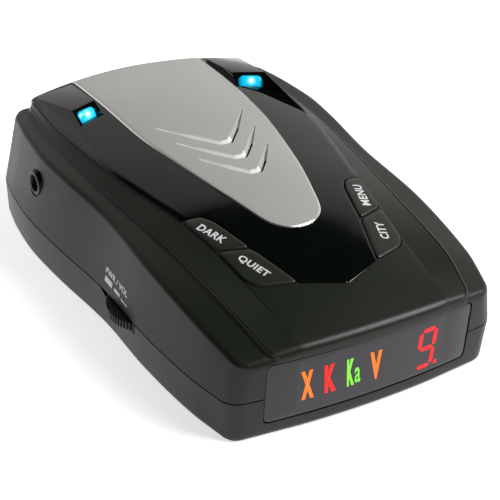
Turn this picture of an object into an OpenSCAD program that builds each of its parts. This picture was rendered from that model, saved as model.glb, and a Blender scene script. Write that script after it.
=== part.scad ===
// Dashboard radar detector: two-part case, gloss top panel with two alert
// periscopes, metallic inlay, four keys, display, thumbwheel and windscreen
// bracket slot. Millimetres, +Z up, driver's end at -Y, origin under the
// middle of the case.

/* [Case] */
// Length, driver's face to windscreen face
body_l = 106; // [104:0.5:110]
// Width at the widest place, near the windscreen end
body_w = 76.6; // [75:0.2:80]
// Height of the crown along the middle
crown_h = 29.9; // [29:0.1:32]
// Height of the joint between the two shells
split_z = 9.4; // [9.2:0.1:9.8]
// Wall thickness of both shells
wall = 1.8; // [1.6:0.1:2]
// Plan corner radius at the driver's end
near_corner_r = 3; // [2:0.5:4]
// Plan corner radius at the windscreen end
far_corner_r = 5; // [4:0.5:8]

/* [Top panel and inlay] */
// Thickness of the gloss panel
panel_t = 1.75; // [1.5:0.05:1.8]
// How far the gloss panel stands above the case
panel_lift = 0.25; // [0.1:0.05:0.3]
// How far the metallic inlay stands above the case
plate_lift = 0.6; // [0.5:0.05:0.8]
// Height of the two periscope hoods above the base
hood_z = 30.9; // [30.6:0.1:31.2]

/* [Keys] */
// Travel of each key
key_travel = 0.5; // [0.3:0.1:0.6]
// Gap around each key
key_gap = 0.15; // [0.12:0.01:0.2]
// How far the keys stand above the case
key_lift = 0.35; // [0.2:0.05:0.5]

/* [Thumbwheel] */
// Radius of the knurled volume wheel
wheel_r = 9; // [8.6:0.1:9.1]
// Thickness of the volume wheel
wheel_t = 1.9; // [1.5:0.1:1.9]
// Number of knurls round the wheel
knurls = 72; // [40:1:80]

/* [Display] */
// Width of the display lens
lens_w = 48; // [46:0.5:49]
// Height of the display lens
lens_h = 13.6; // [12.5:0.1:13.8]

/* [Sockets and bracket] */
// Inner radius of the power socket
jack_r = 1.8; // [1.75:0.05:1.9]
// Outer radius of the socket's nose
jack_nose_r = 2.9; // [2.6:0.1:3]
// Depth of the power socket
jack_depth = 10.8; // [9:0.1:11]
// Width of the slot that takes the windscreen bracket
slot_w = 16.6; // [15:0.2:17]
// Height of the bracket slot
slot_h = 4.6; // [4.2:0.1:4.6]
// Upward travel of the bracket release button
release_travel = 1.5; // [1:0.1:1.6]

/* [Hidden] */

$fn = 48;
half_l = body_l/2;
half_w = body_w/2;
roof_t = 3.1;            // case plus panel thickness under the crown
face_bow_r = 212;        // the driver's face is a shallow arc in plan
tail_bow_r = 150;        // and so is the windscreen face
brow_r = 1.3;            // edge between driver's face and top
tail_r = 1.6;            // edge between windscreen face and top
base_r = 1.4;            // edge round the base
inner_r = 0.6;           // the same edges inside the case

// Plan half widths as a share of half_w, along the length from -1 to 1
wall_run = [[-1, 0.815], [-0.7, 0.888], [-0.41, 0.922], [-0.1, 0.927], [0.3, 0.987], [0.57, 1], [1, 0.93]];
rim_run = [[-1, 0.765], [-0.75, 0.825], [-0.38, 0.862], [0, 0.862], [0.34, 0.909], [0.53, 0.919], [1, 0.846]];
ridge_run = [[-1, 0.608], [-0.75, 0.663], [-0.38, 0.705], [0, 0.762], [0.23, 0.789], [0.51, 0.796], [1, 0.752]];
edge_run = [[-1, 0.46], [-0.64, 0.486], [-0.25, 0.567], [0, 0.648], [0.19, 0.7], [0.38, 0.731], [0.6, 0.752], [1, 0.734]];
// Heights as a share of crown_h
rim_rise = [[-1, 0.59], [-0.75, 0.682], [-0.38, 0.768], [0, 0.808], [0.38, 0.834], [0.75, 0.834], [1, 0.82]];
ridge_rise = [[-1, 0.622], [-0.75, 0.736], [-0.38, 0.803], [0, 0.836], [0.38, 0.849], [1, 0.836]];
edge_rise = [[-1, 0.642], [-0.9, 0.686], [-0.45, 0.836], [-0.25, 0.873], [0, 0.886], [0.38, 0.903], [1, 0.896]];
spine_rise = [[-1, 0.649], [-0.79, 0.759], [-0.51, 0.856], [-0.25, 0.923], [0, 0.96], [0.38, 0.99], [0.66, 1], [1, 0.963]];

// Smooth curve through a few [place, value] points
function span(p, u, i = 0) = i >= len(p) - 2 || u < p[i + 1][0] ? i : span(p, u, i + 1);
function rate(p, i) =
    let(a = max(i - 1, 0), b = min(i + 1, len(p) - 1))
    (p[b][1] - p[a][1])/(p[b][0] - p[a][0]);
function curve(p, u) =
    let(i = span(p, u), h = p[i + 1][0] - p[i][0], t = (u - p[i][0])/h)
    (2*t^3 - 3*t^2 + 1)*p[i][1] + (t^3 - 2*t^2 + t)*h*rate(p, i)
    + (3*t^2 - 2*t^3)*p[i + 1][1] + (t^3 - t^2)*h*rate(p, i + 1);
function along(p, y, full) = full*curve(p, max(-1, min(1, y/half_l)));

function wall_x(y) = along(wall_run, y, half_w);
function rim_x(y) = along(rim_run, y, half_w);
function ridge_x(y) = along(ridge_run, y, half_w);
function edge_x(y) = along(edge_run, y, half_w);
function rim_z(y) = along(rim_rise, y, crown_h);
function ridge_z(y) = along(ridge_rise, y, crown_h);
function edge_z(y) = along(edge_rise, y, crown_h);
function spine_z(y) = along(spine_rise, y, crown_h);

// Height of the top surface between the two ridges
function crown_z(x, y) =
    let(ax = abs(x), xe = edge_x(y), xs = ridge_x(y))
    ax <= xe ? spine_z(y) - (spine_z(y) - edge_z(y))*(ax/xe)^2
    : edge_z(y) + (ridge_z(y) - edge_z(y))*(ax - xe)/(xs - xe);

// How far a rounded edge of radius r has pulled in at depth d from a face
function pull_in(d, r) = d >= r ? 0 : r - sqrt(max(0, r^2 - (r - d)^2));
// Both end faces are bowed in plan, and the bow fades out along the body
function bowed_y(x, y) =
    y + x^2/(2*face_bow_r)*max(0, 1 - (y + half_l)/12) - x^2/(2*tail_bow_r)*max(0, 1 - (half_l - y)/14);

// Stations along the length, closer together round the plan corners
function stations(inset, mid) =
    let(rn = near_corner_r, rf = far_corner_r, y0 = -half_l + inset, y1 = half_l - inset)
    concat([for (k = [0:4]) y0 + rn*(1 - cos(18*k))],
           [for (k = [0:mid]) y0 + rn + (y1 - y0 - rn - rf)*k/mid],
           [for (k = [5:-1:0]) y1 - rf*(1 - cos(15*k))]);

function lerp(a, b, t) = a + (b - a)*t;
// Three points round a corner c, cut back by r towards a and b
function rounded(a, c, b, r) =
    let(p = c + r*(a - c)/norm(a - c), q = c + r*(b - c)/norm(b - c))
    [for (t = [0, 1/3, 2/3, 1]) lerp(lerp(p, c, t), lerp(c, q, t), t)];

function mirrored(half) =
    concat([for (i = [len(half) - 1:-1:1]) [-half[i][0], half[i][1]]], half);

// Half section of the upper shell at y: spine, edge, ridge step, rim, wall
function upper_half(y, inset, roof, n) =
    let(d0 = y + half_l - inset, d1 = half_l - inset - y,
        xw = wall_x(y) - inset, xr = rim_x(y) - inset,
        k = (xw - pull_in(d0, near_corner_r) - pull_in(d1, far_corner_r))/xw,
        drop = roof + pull_in(d0, inset > 0 ? inner_r : brow_r) + pull_in(d1, inset > 0 ? inner_r : tail_r),
        xe = edge_x(y), xs = ridge_x(y), step = inset > 0 ? 0.2 : 0.4,
        foot = [xs + step, ridge_z(y) - step - drop],
        rim = [xr, rim_z(y) - min(roof, wall) - (drop - roof)],
        low = [xw, split_z])
    [for (p = concat([for (i = [0:n]) [xe*i/n, crown_z(xe*i/n, y) - drop]],
                     [[xs, ridge_z(y) - drop], foot],
                     rounded(foot, rim, low, inset > 0 ? 0.8 : 1), [low]))
        [p[0]*k, p[1]]];

// Half section of the lower shell at y, from the middle of the base outwards
function lower_half(y, inset) =
    let(d0 = y + half_l - inset, d1 = half_l - inset - y, xw = wall_x(y) - inset,
        k = (xw - pull_in(d0, near_corner_r) - pull_in(d1, far_corner_r))/xw,
        r = inset > 0 ? inner_r : base_r,
        rise = inset + pull_in(d0, r) + pull_in(d1, r),
        base = [xw - 0.6, rise])
    [for (p = concat([[0, rise], [xw/2, rise]],
                     rounded([xw/2, rise], base, [xw, split_z], r), [[xw, split_z]]))
        [p[0]*k, p[1]]];

// Closed solid skinned through stations ys. Each section is a chain of [x, z]
// points for the top and one for the bottom, at the same x, sharing both ends.
module skin(ys, tops, bottoms, bow = true) {
    m = len(tops[0]) - 1;
    n = 2*m;
    last = len(ys) - 1;
    function at(p, y) = [p[0], bow ? bowed_y(p[0], y) : y, p[1]];
    points = [for (i = [0:last]) each concat(
        [for (p = tops[i]) at(p, ys[i])],
        [for (j = [m - 1:-1:1]) at(bottoms[i][j], ys[i])])];
    sides = [for (i = [0:last - 1], j = [0:n - 1])
        let(a = i*n + j, b = a + n, c = (i + 1)*n + (j + 1)%n, d = i*n + (j + 1)%n)
        each [[a, b, c], [a, c, d]]];
    front = concat([[0, 1, n - 1], [m - 1, m, m + 1]],
        [for (j = [1:m - 2]) each [[j, j + 1, n - j - 1], [j, n - j - 1, n - j]]]);
    back = [for (f = front) [last*n + f[2], last*n + f[1], last*n + f[0]]];
    polyhedron(points, concat(sides, front, back), convexity = 6);
}

// Outer form of the upper shell, or with an inset the hollow inside it
module upper_form(inset, roof, mid, n) {
    ys = stations(inset, mid);
    function roof_at(y) = roof > 0 ? lookup(y, [[-half_l + 7, wall], [-half_l + 12, roof]]) : 0;
    tops = [for (y = ys) mirrored(upper_half(y, inset, roof_at(y), n))];
    skin(ys, tops, [for (t = tops) [for (p = t) [p[0], split_z]]]);
}

module lower_form(inset, mid) {
    ys = stations(inset, mid);
    lows = [for (y = ys) mirrored(lower_half(y, inset))];
    skin(ys, [for (l = lows) [for (p = l) [p[0], split_z]]], lows);
}

// Slab that follows the crown between two lifts, from y0 to y1, |x| up to reach(y)
module crown_slab(ys, xs, top, bottom, edge = 0.3) {
    half = [for (i = [0:len(ys) - 1]) [for (t = [0, 0.2, 0.4, 0.6, 0.8, 1]) (xs[i] - edge)*t]];
    tops = [for (i = [0:len(ys) - 1]) mirrored(concat(
        [for (x = half[i]) [x, crown_z(x, ys[i]) + top]],
        [[xs[i], crown_z(xs[i], ys[i]) + top - edge]]))];
    bottoms = [for (i = [0:len(ys) - 1]) mirrored(concat(
        [for (x = half[i]) [x, crown_z(x, ys[i]) + bottom]], [[xs[i], 0]]))];
    skin(ys, tops, bottoms);
}

// Outline of the gloss panel, as half width against y: a V at the driver's end,
// then the keys' inner edges, then the edge line of the crown
key_far_y = -12.9;
panel_run = [[-42, 0.4], [-38.6, 9.1], [-26.5, 13.05], [-16.2, 15.7], [-13.6, 17.6], [key_far_y, 21.5]];
panel_far = half_l - 2.4;
function panel_x(y) = y < key_far_y ? lookup(y, panel_run) : edge_x(y) - 0.15;
panel_ys = concat([for (p = panel_run) p[0]], [for (k = [1:13]) lerp(key_far_y, panel_far, k/13)]);

// The pocket for it ends a little further on
pocket_ys = [for (y = panel_ys) y == panel_far ? y + 0.15 : y];

// Outline of the metallic inlay: a round tip that widens towards the windscreen
plate_run = [[-24.8, 0.6], [-24.4, 2.9], [-22.8, 5.2], [-20.4, 6.9], [-17, 7.9], [-6.3, 10.9], [6.4, 13.6],
    [16, 15.3], [27, 16.1], [39, 16.5], [panel_far, 16.8]];
plate_ys = concat([for (i = [0:4]) plate_run[i][0]], [for (k = [1:11]) lerp(-17, panel_far, k/11)]);
function plate_x(y) = lookup(y, plate_run);
inlay_ys = [for (y = plate_ys) y == panel_far ? y + 0.4 : y];

// Plan outlines of the right-hand keys
far_key = [[21.3, -13.1], [17.7, -13.7], [16.1, -16.3], [13.3, -26.1], [19.7, -23.9]];
near_key = [[19.6, -24.5], [13.1, -26.8], [9.4, -38.2], [16.9, -35.8], [18.6, -33.4]];
far_switch = [17.6, -20];
near_switch = [14.9, -31];
board_top = 14.6;
board_t = 1.6;
switch_h = 3.4;

// Screws, posts and light pipes
case_screw_at = [[-27.5, -40], [27.5, -40], [-29.5, 41], [29.5, 41]];
board_screw_at = [[-27, -25], [27, -25], [-17, 8]];
lamp_at = [21.2, 35.2];
lens_mid_z = 10.15;
pipe_r = 1.3;

// Thumbwheel, jack, bracket slot, release button, speaker
wheel_at = [-28.5, -13];
wheel_z = 7.2;
jack_at = [-37, 26.4, 18.4];
laser_at = [22.4, 17.1];
slot_z = 3.2;
slot_y = half_l - 26;
release_at = [0, 17];
speaker_at = [8, -16];
speaker_r = 14;

// Hood corners, right side: far and near on the inside, near and far on the
// outside, the foot of the face, and the tip that runs towards the driver
hood_a = [18, 48, crown_z(18, 48) + 0.7];
hood_b = [18, 35.5, hood_z - 0.2];
hood_c = [25.1, 32.2, hood_z];
hood_d = [edge_x(panel_far) - 0.9, bowed_y(27, panel_far) - 0.3, crown_z(27, panel_far) + 0.45];
hood_e = [17.6, 32.7, crown_z(17.6, 32.7) + 0.1];
hood_g = [24.4, 29, crown_z(24.4, 29) + 0.1];
hood_t = [edge_x(13.8) - 0.6, 13.8, crown_z(edge_x(13.8) - 0.6, 13.8) + 0.1];
face_turn = -24;
face_tilt = 57;
lens_drop = -0.4;         // the lens sits low in the face

module at_lens(side) {
    mirror([side < 0 ? 1 : 0, 0, 0])
        translate((hood_b + hood_c + hood_e + hood_g)/4)
            rotate([0, 0, face_turn]) rotate([face_tilt, 0, 0]) translate([0, lens_drop, 0]) children();
}

module rounded_box(w, h, d, r) {
    linear_extrude(d) offset(r) square([w - 2*r, h - 2*r], center = true);
}

module hood() {
    sink = [0, 0, -0.8];
    top = [hood_a, hood_b, hood_c, hood_d, hood_e, hood_g, hood_t];
    foot = [for (i = [0, 4, 5, 6, 3]) [top[i][0], top[i][1], crown_z(top[i][0], top[i][1])] + sink];
    polyhedron(concat(top, foot), [
        [0, 2, 1], [0, 3, 2], [1, 2, 5], [1, 5, 4], [2, 6, 5], [2, 3, 6],
        [0, 1, 4], [0, 4, 8], [0, 8, 7], [4, 5, 9], [4, 9, 8], [5, 6, 10], [5, 10, 9],
        [6, 3, 11], [6, 11, 10], [3, 0, 7], [3, 7, 11],
        [7, 8, 9], [7, 9, 10], [7, 10, 11]]);
}

// Key outline, mirrored for the left side and grown by g
module key_outline(pts, side, g = 0) {
    mirror([side < 0 ? 1 : 0, 0]) offset(r = 0.8 + g) offset(delta = -0.8) polygon(pts);
}

// The slab of crown that the keys are cut from
module key_slab(top, bottom) {
    ys = [for (k = [0:8]) -40 + k*3.5];
    crown_slab(ys, [for (y = ys) 24], top, bottom, 0.01);
}

// Cap, flange that holds it under the case, and plunger. away is the side in Y
// that has no neighbouring key.
module key(pts, side, switch_at, away) {
    shown_floor = -roof_t - 0.25;
    x = switch_at[0]*side;
    y = switch_at[1];
    color([0.2, 0.21, 0.2]) {
        intersection() {
            translate([0, 0, 10]) linear_extrude(30) key_outline(pts, side);
            key_slab(key_lift, shown_floor - 0.9);
        }
        intersection() {
            translate([0, 0, 10]) linear_extrude(30) intersection() {
                key_outline(pts, side, 0.7);
                translate([0, away*0.75]) key_outline(pts, side, 0.7);
            }
            key_slab(shown_floor, shown_floor - 0.9);
        }
        translate([x, y, board_top + switch_h - 0.05])
            cylinder(h = crown_z(x, y) + shown_floor - 0.5 - board_top - switch_h, r = 1.7);
    }
}

module dark_button() { key(far_key, -1, far_switch, 1); }
module quiet_button() { key(near_key, -1, near_switch, -1); }
module menu_button() { key(far_key, 1, far_switch, 1); }
module city_button() { key(near_key, 1, near_switch, -1); }

module lens_opening(grow) {
    translate([0, -half_l - 3, lens_mid_z])
        rotate([-90, 0, 0]) rounded_box(lens_w + 2*grow, lens_h + 2*grow, 5.5, 1.5);
}

// Groove for the lens flange behind the opening
module lens_flange(grow) {
    intersection() {
        translate([0, -half_l - 3, lens_mid_z]) rotate([-90, 0, 0])
            rounded_box(lens_w + 2 + 2*grow, lens_h + 0.8 + 2*grow, 8, 1.5);
        face_strip(2 - grow, 2.8 + grow);
    }
}

module case_post_cut() {
    for (p = case_screw_at) translate([p[0], p[1], split_z - 1]) cylinder(h = 8.6, r = 1.1);
    for (p = board_screw_at) translate([p[0], p[1], board_top - 1]) cylinder(h = 4.6, r = 0.85);
}

module top_case() {
    color([0.23, 0.24, 0.23]) difference() {
        upper_form(0, 0, 12, 4);
        difference() {
            translate([0, 0, -0.01]) upper_form(wall, roof_t, 8, 2);
            for (p = case_screw_at) translate([p[0], p[1], split_z - 1]) cylinder(h = 30, r = 2.8);
            for (p = board_screw_at) translate([p[0], p[1], board_top]) cylinder(h = 30, r = 2);
        }
        crown_slab(pocket_ys, [for (y = panel_ys) panel_x(y) + 0.12], 6, panel_lift - panel_t - 0.08, 0);
        for (side = [-1, 1]) {
            translate([0, 0, 15]) linear_extrude(30) key_outline(far_key, side, key_gap);
            translate([0, 0, 15]) linear_extrude(30) key_outline(near_key, side, key_gap);
            translate([side*lamp_at[0], lamp_at[1], 20]) cylinder(h = 20, r = pipe_r + 0.2);
        }
        case_post_cut();
        lens_opening(0.15);
        lens_flange(0.12);
        translate([-half_w - 2, jack_at[1], jack_at[2]]) rotate([0, 90, 0]) cylinder(h = 8, r = jack_nose_r + 0.2);
        translate([laser_at[0], half_l + 2, laser_at[1]]) rotate([90, 0, 0]) rounded_box(8, 7.6, 8, 1);
    }
}

module speaker_slots() {
    for (i = [-4:4]) {
        run = sqrt(12^2 - (2.7*i)^2);
        translate([speaker_at[0] - run, speaker_at[1] + 2.7*i - 0.75, -1]) cube([2*run, 1.5, 4]);
    }
}

module bottom_case() {
    ledge = slot_z + slot_h + 0.8;
    color([0.21, 0.22, 0.21]) difference() {
        union() {
            difference() {
                lower_form(0, 12);
                translate([0, 0, 0.01]) lower_form(wall, 8);
            }
            // Screw columns
            for (p = case_screw_at) translate([p[0], p[1], wall - 0.5]) cylinder(h = split_z - wall + 0.5, r = 3.4);
            // Speaker ring
            translate([speaker_at[0], speaker_at[1], wall - 0.5]) difference() {
                cylinder(h = 2.5, r = speaker_r + 1.6);
                cylinder(h = 9, r = speaker_r + 0.15);
            }
            // Channel for the bracket
            translate([-slot_w/2 - 1.2, slot_y - 1.2, wall - 0.5])
                cube([slot_w + 2.4, half_l - 1 - slot_y, ledge - wall + 0.5]);
        }
        translate([-slot_w/2, slot_y, slot_z]) cube([slot_w, 40, slot_h]);
        translate([-3, half_l - 25, slot_z + 2]) cube([6, 4, 8]);
        for (p = case_screw_at) translate([p[0], p[1], -1]) {
            cylinder(h = 7, r = 2.3);
            cylinder(h = 12, r = 1.3);
        }
        speaker_slots();
        translate([release_at[0], release_at[1], -1]) rounded_box(14.4, 10.4, 6, 1.2);
        lens_opening(0.15);
        lens_flange(0.12);
        // Slot for the thumbwheel, with one slanted end
        translate([-half_w - 3, 0, 0]) rotate([90, 0, 90]) linear_extrude(9)
            polygon([[-19, wheel_z - 0.3], [-8.2, wheel_z - 0.3], [-2.5, split_z + 1], [-18, split_z + 1]]);
        translate([wheel_at[0], wheel_at[1], wheel_z - 0.3]) cylinder(h = 9, r = wheel_r + 0.35);
        translate([0, -40, -1]) linear_extrude(1.3) square([32.4, 8.4], center = true);
    }
}

module gloss_panel() {
    xs = [for (y = panel_ys) panel_x(y)];
    plate_xs = [for (y = plate_ys) plate_x(y) + 0.08];
    color([0.05, 0.055, 0.06]) difference() {
        union() {
            crown_slab(panel_ys, xs, panel_lift, panel_lift - panel_t, 0.3);
            hood();
            mirror([1, 0, 0]) hood();
        }
        crown_slab(inlay_ys, plate_xs, 6, -0.68, 0);
        for (side = [-1, 1]) {
            at_lens(side) translate([0, 0, -3.2]) rounded_box(5.9, 2.9, 8, 0.7);
            translate([side*lamp_at[0], lamp_at[1], 20]) cylinder(h = 8.6, r = pipe_r + 0.15);
        }
    }
}

// One chevron groove: flat at the point nearest the driver, width w, and tapering
// along the outer part of each wing
module chevron(tip_y, reach, w) {
    flat = 1.5;
    slope = 1.11;
    turn = 0.6*reach;
    back = flat - 0.45*w;
    for (s = [-1, 1]) polygon([[0, tip_y], [s*flat, tip_y], [s*turn, tip_y + slope*(turn - flat)],
        [s*reach, tip_y + w + slope*(reach - back)], [s*back, tip_y + w], [0, tip_y + w]]);
}

module silver_plate() {
    xs = [for (y = plate_ys) plate_x(y)];
    grooves = [[6.5, 11], [0.1, 9.9], [-6.15, 8.5]];
    color([0.74, 0.74, 0.71]) difference() {
        crown_slab(plate_ys, xs, plate_lift, -0.55, 0.25);
        for (g = grooves) translate([0, 0, 20]) linear_extrude(20)
            chevron(g[0], g[1], 0.9);
    }
}

// Curved strip that follows the driver's face, from depth a to depth b
module face_strip(a, b) {
    translate([0, -half_l + face_bow_r, 0]) difference() {
        cylinder(h = 30, r = face_bow_r - a, $fn = 360);
        translate([0, 0, -1]) cylinder(h = 32, r = face_bow_r - b, $fn = 360);
    }
}

module display_lens() {
    color([0.25, 0.24, 0.28, 0.6]) {
        intersection() {
            lens_opening(0);
            face_strip(0.15, 2.1);
        }
        difference() {
            lens_flange(0);
            translate([0, -half_l - 4, lens_mid_z]) rotate([-90, 0, 0]) rounded_box(lens_w - 2, lens_h - 1.2, 10, 1);
        }
    }
}

module periscope(side) {
    color([0.35, 0.85, 0.95, 0.8]) {
        at_lens(side) translate([0, 0, -2.5]) rounded_box(5.6, 2.6, 2.4, 0.6);
        translate([side*lamp_at[0], lamp_at[1], board_top + 1.7])
            cylinder(h = hood_z - 2.6 - board_top - 1.7, r = pipe_r);
    }
}
module periscope_left() { periscope(-1); }
module periscope_right() { periscope(1); }

module periscope_lamps() {
    color([0.95, 0.95, 0.9]) for (side = [-1, 1])
        translate([side*lamp_at[0], lamp_at[1], board_top]) {
            translate([-1.6, -1.2, 0]) cube([3.2, 2.4, 1]);
            cylinder(h = 1.5, r = 0.9);
        }
}

module main_board() {
    color([0.1, 0.35, 0.2]) difference() {
        translate([0, 0, board_top - board_t]) linear_extrude(board_t) polygon([
            [-26, -45], [26, -45], [30, -30], [31, -5], [33, 10], [33, 30], [26, 33], [26, 47], [18.8, 47],
            [18.8, 18.4], [-18.8, 18.4], [-18.8, 38], [-26, 38], [-26, 33], [-33, 31], [-33, 10], [-31, -5], [-30, -30]]);
        for (p = case_screw_at) translate([p[0], p[1], 0]) cylinder(h = 30, r = 3.1);
        for (p = board_screw_at) translate([p[0], p[1], 0]) cylinder(h = 30, r = 1.1);
    }
}

module display_board() {
    color([0.1, 0.35, 0.2]) translate([-23.2, -half_l + 6, 2.6]) cube([46.4, 1.2, 14.2]);
}

module icon_housing() {
    color([0.08, 0.08, 0.09]) difference() {
        translate([-17.8, -half_l + 2.8, 4.6]) cube([21.6, 3.2, 10.6]);
        for (i = [0:3]) translate([-16.9 + 5.1*i, -half_l + 2, 5.5]) cube([4.6, 6, 8.8]);
    }
}

module icon_lamps() {
    color([0.95, 0.9, 0.8]) for (i = [0:3]) translate([-14.6 + 5.1*i, -half_l + 6, 9.9]) rotate([90, 0, 0]) {
        translate([-1.3, -1, 0]) cube([2.6, 2, 0.8]);
        cylinder(h = 1.3, r = 0.8);
    }
}

module digit_module() {
    color([0.12, 0.12, 0.13]) translate([8.2, -half_l + 2.8, 4]) cube([9.2, 3.2, 12]);
}

module board_header() {
    color([0.8, 0.7, 0.3]) for (i = [0:9]) translate([-9 + 2*i, 0, 0]) {
        translate([-0.3, -half_l + 7.2, 11.6]) cube([0.6, 3.4, 0.6]);
        translate([-0.3, -half_l + 10, 11.6]) cube([0.6, 0.6, board_top - board_t - 11.6]);
    }
}

module key_switches() {
    color([0.15, 0.15, 0.16]) for (side = [-1, 1], p = [far_switch, near_switch])
        translate([side*p[0], p[1], board_top]) difference() {
            translate([-3, -3, 0]) cube([6, 6, switch_h]);
            translate([0, 0, switch_h - key_travel - 0.4]) cylinder(h = 3, r = 1.76);
        }
}

module processor_chip() {
    color([0.09, 0.09, 0.1]) translate([-2, -22, board_top]) {
        translate([-5, -5, 0.25]) cube([10, 10, 1.5]);
        for (turn = [0:90:270], i = [-4:4]) rotate([0, 0, turn]) translate([i*1 - 0.2, 4.9, 0]) cube([0.4, 1.3, 0.5]);
    }
}

module amplifier_chip() {
    color([0.09, 0.09, 0.1]) translate([22, 2, board_top]) {
        translate([-2, -2.5, 0.2]) cube([4, 5, 1.4]);
        for (s = [-1, 1], i = [-1.5:1.5]) translate([s*2.4 - 0.5, i*1.27 - 0.2, 0]) cube([1, 0.4, 0.5]);
    }
}

module capacitors() {
    color([0.15, 0.18, 0.3]) for (p = [[-4, -4], [5, -4], [14, -4]])
        translate([p[0], p[1], board_top]) {
            cylinder(h = 6.6, r = 3);
            cylinder(h = 0.8, r = 3.3);
        }
}

module crystal() {
    color([0.75, 0.75, 0.75]) translate([9, -12, board_top]) {
        linear_extrude(0.5) offset(1.9) square([7, 0.6], center = true);
        linear_extrude(3.2) offset(1.6) square([7, 0.6], center = true);
    }
}

// Microwave horn: a casting that opens towards the windscreen
module horn_form(grow, y0, y1) {
    mouth = [17, 6.5];
    throat = [5, 3];
    points = [for (e = [[y0, throat, 16.6], [y1, mouth, 16.1]], s = [[-1, -1], [1, -1], [1, 1], [-1, 1]])
        [s[0]*(e[1][0] + grow), e[0], e[2] + s[1]*(e[1][1] + grow)]];
    polyhedron(points, [[3, 2, 1, 0], [4, 5, 6, 7], [0, 1, 5, 4], [1, 2, 6, 5], [2, 3, 7, 6], [3, 0, 4, 7]], convexity = 2);
}

module horn_antenna() {
    color([0.72, 0.72, 0.7]) {
        difference() {
            union() {
                horn_form(0.9, 30, half_l - 3.4);
                translate([-8, 19, 12.6]) cube([16, 11.5, 8]);
                translate([-22.8, 23, board_top]) cube([45.6, 4.6, 1.1]);
            }
            horn_form(0, 29.9, half_l - 3);
            translate([-4, 21, 14]) cube([8, 12, 5]);
        }
    }
}

module mixer_shield() {
    color([0.8, 0.8, 0.78]) translate([-11, 4.4, board_top]) difference() {
        cube([24, 13.4, 4]);
        translate([0.4, 0.4, -0.1]) cube([23.2, 12.6, 3.7]);
        for (i = [0:5], j = [0:2]) translate([4.5 + 3*i, 3.7 + 3*j, 3]) cylinder(h = 2, r = 0.6, $fn = 16);
    }
}

module laser_window() {
    color([0.18, 0.03, 0.04, 0.7]) translate([laser_at[0], half_l, laser_at[1]]) rotate([-90, 0, 0]) {
        translate([0, 0, -5]) rounded_box(8.8, 8.6, 0.8, 1);
        translate([0, 0, -4.3]) rounded_box(7.7, 7.3, 2.3, 0.9);
    }
}

module laser_sensor() {
    color([0.1, 0.1, 0.12]) translate([laser_at[0], 41, board_top]) {
        translate([-2.6, 0, 0]) cube([5.2, 3, 5]);
        translate([0, 3, 2.6]) rotate([-90, 0, 0]) cylinder(h = 1.1, r = 1.6);
    }
}

module speaker_frame() {
    r = speaker_r;
    color([0.6, 0.6, 0.6]) translate([speaker_at[0], speaker_at[1], wall + 0.1]) rotate_extrude()
        polygon([[r - 1.3, 0], [r, 0], [r, 1.2], [r - 1.4, 1.5], [9.6, 3.8], [6.8, 3.8], [6.8, 5.6], [0, 5.6],
            [0, 3.2], [9.2, 3.2], [12, 1.1], [r - 1.3, 1.1]]);
}

module speaker_cone() {
    color([0.12, 0.12, 0.12]) translate([speaker_at[0], speaker_at[1], wall + 0.1]) rotate_extrude()
        polygon([[0, 1.6], [3, 1.6], [4.6, 2.2], [10, 0.7], [10.8, 0.3], [11.6, 0.7], [12.6, 0.7], [12.6, 1],
            [11.5, 1], [10.8, 0.6], [10.1, 1], [4.6, 2.5], [2.9, 1.9], [0, 1.9]]);
}

module speaker_contacts() {
    color([0.85, 0.7, 0.35]) for (s = [-1, 1])
        translate([speaker_at[0] + s*3, speaker_at[1], wall + 5.7])
            cylinder(h = board_top - board_t - wall - 5.7, r = 0.5);
}

module volume_wheel() {
    color([0.08, 0.08, 0.08]) translate([wheel_at[0], wheel_at[1], wheel_z]) {
        linear_extrude(wheel_t) polygon([for (i = [0:4*knurls - 1])
            let(r = i % 4 < 2 ? wheel_r : wheel_r - 0.35, a = 360*i/(4*knurls)) r*[cos(a), sin(a)]]);
        cylinder(h = wheel_t + 0.5, r = 3);
        cylinder(h = board_top - board_t - wheel_z - 0.6, r = 1.5);
    }
}

module volume_control() {
    low = wheel_z + wheel_t + 0.7;
    color([0.25, 0.25, 0.27]) translate([wheel_at[0], wheel_at[1], low]) difference() {
        cylinder(h = board_top - board_t - low, r = 4.3);
        translate([0, 0, -1]) cylinder(h = board_top - board_t - low + 0.7, r = 1.55);
    }
}

module power_jack() {
    nose = 3.6;
    drop = jack_at[2] - board_top;
    color([0.1, 0.1, 0.1]) translate(jack_at) rotate([0, 90, 0]) difference() {
        union() {
            cylinder(h = 6, r = jack_nose_r);
            translate([-3.2, -3.7, nose]) cube([3.2 + drop, 7.4, 9.4]);
        }
        translate([0, 0, -1]) cylinder(h = jack_depth + 1, r = jack_r);
    }
}

module release_button() {
    arm_z = slot_z + slot_h + 1.1;
    color([0.1, 0.1, 0.1]) translate([release_at[0], release_at[1], 0]) {
        translate([0, 0, 0.35]) difference() {
            rounded_box(14, 10, 1.6, 1);
            for (i = [-2:2]) translate([-5, 1.6*i - 0.3, -0.1]) cube([10, 0.6, 0.4]);
        }
        translate([-8, -6, 1.95]) cube([16, 12, 0.95]);
        translate([-5, 1.5, 2.5]) cube([10, 3, arm_z - 2]);
        translate([-5, -4, arm_z]) cube([10, 18, 1.2]);
        // The catch clears the slot at full travel
        translate([-2.5, half_l - 24.4 - release_at[1], slot_z + slot_h + 0.1 - release_travel]) cube([5, 2.9, 3]);
    }
}

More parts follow.
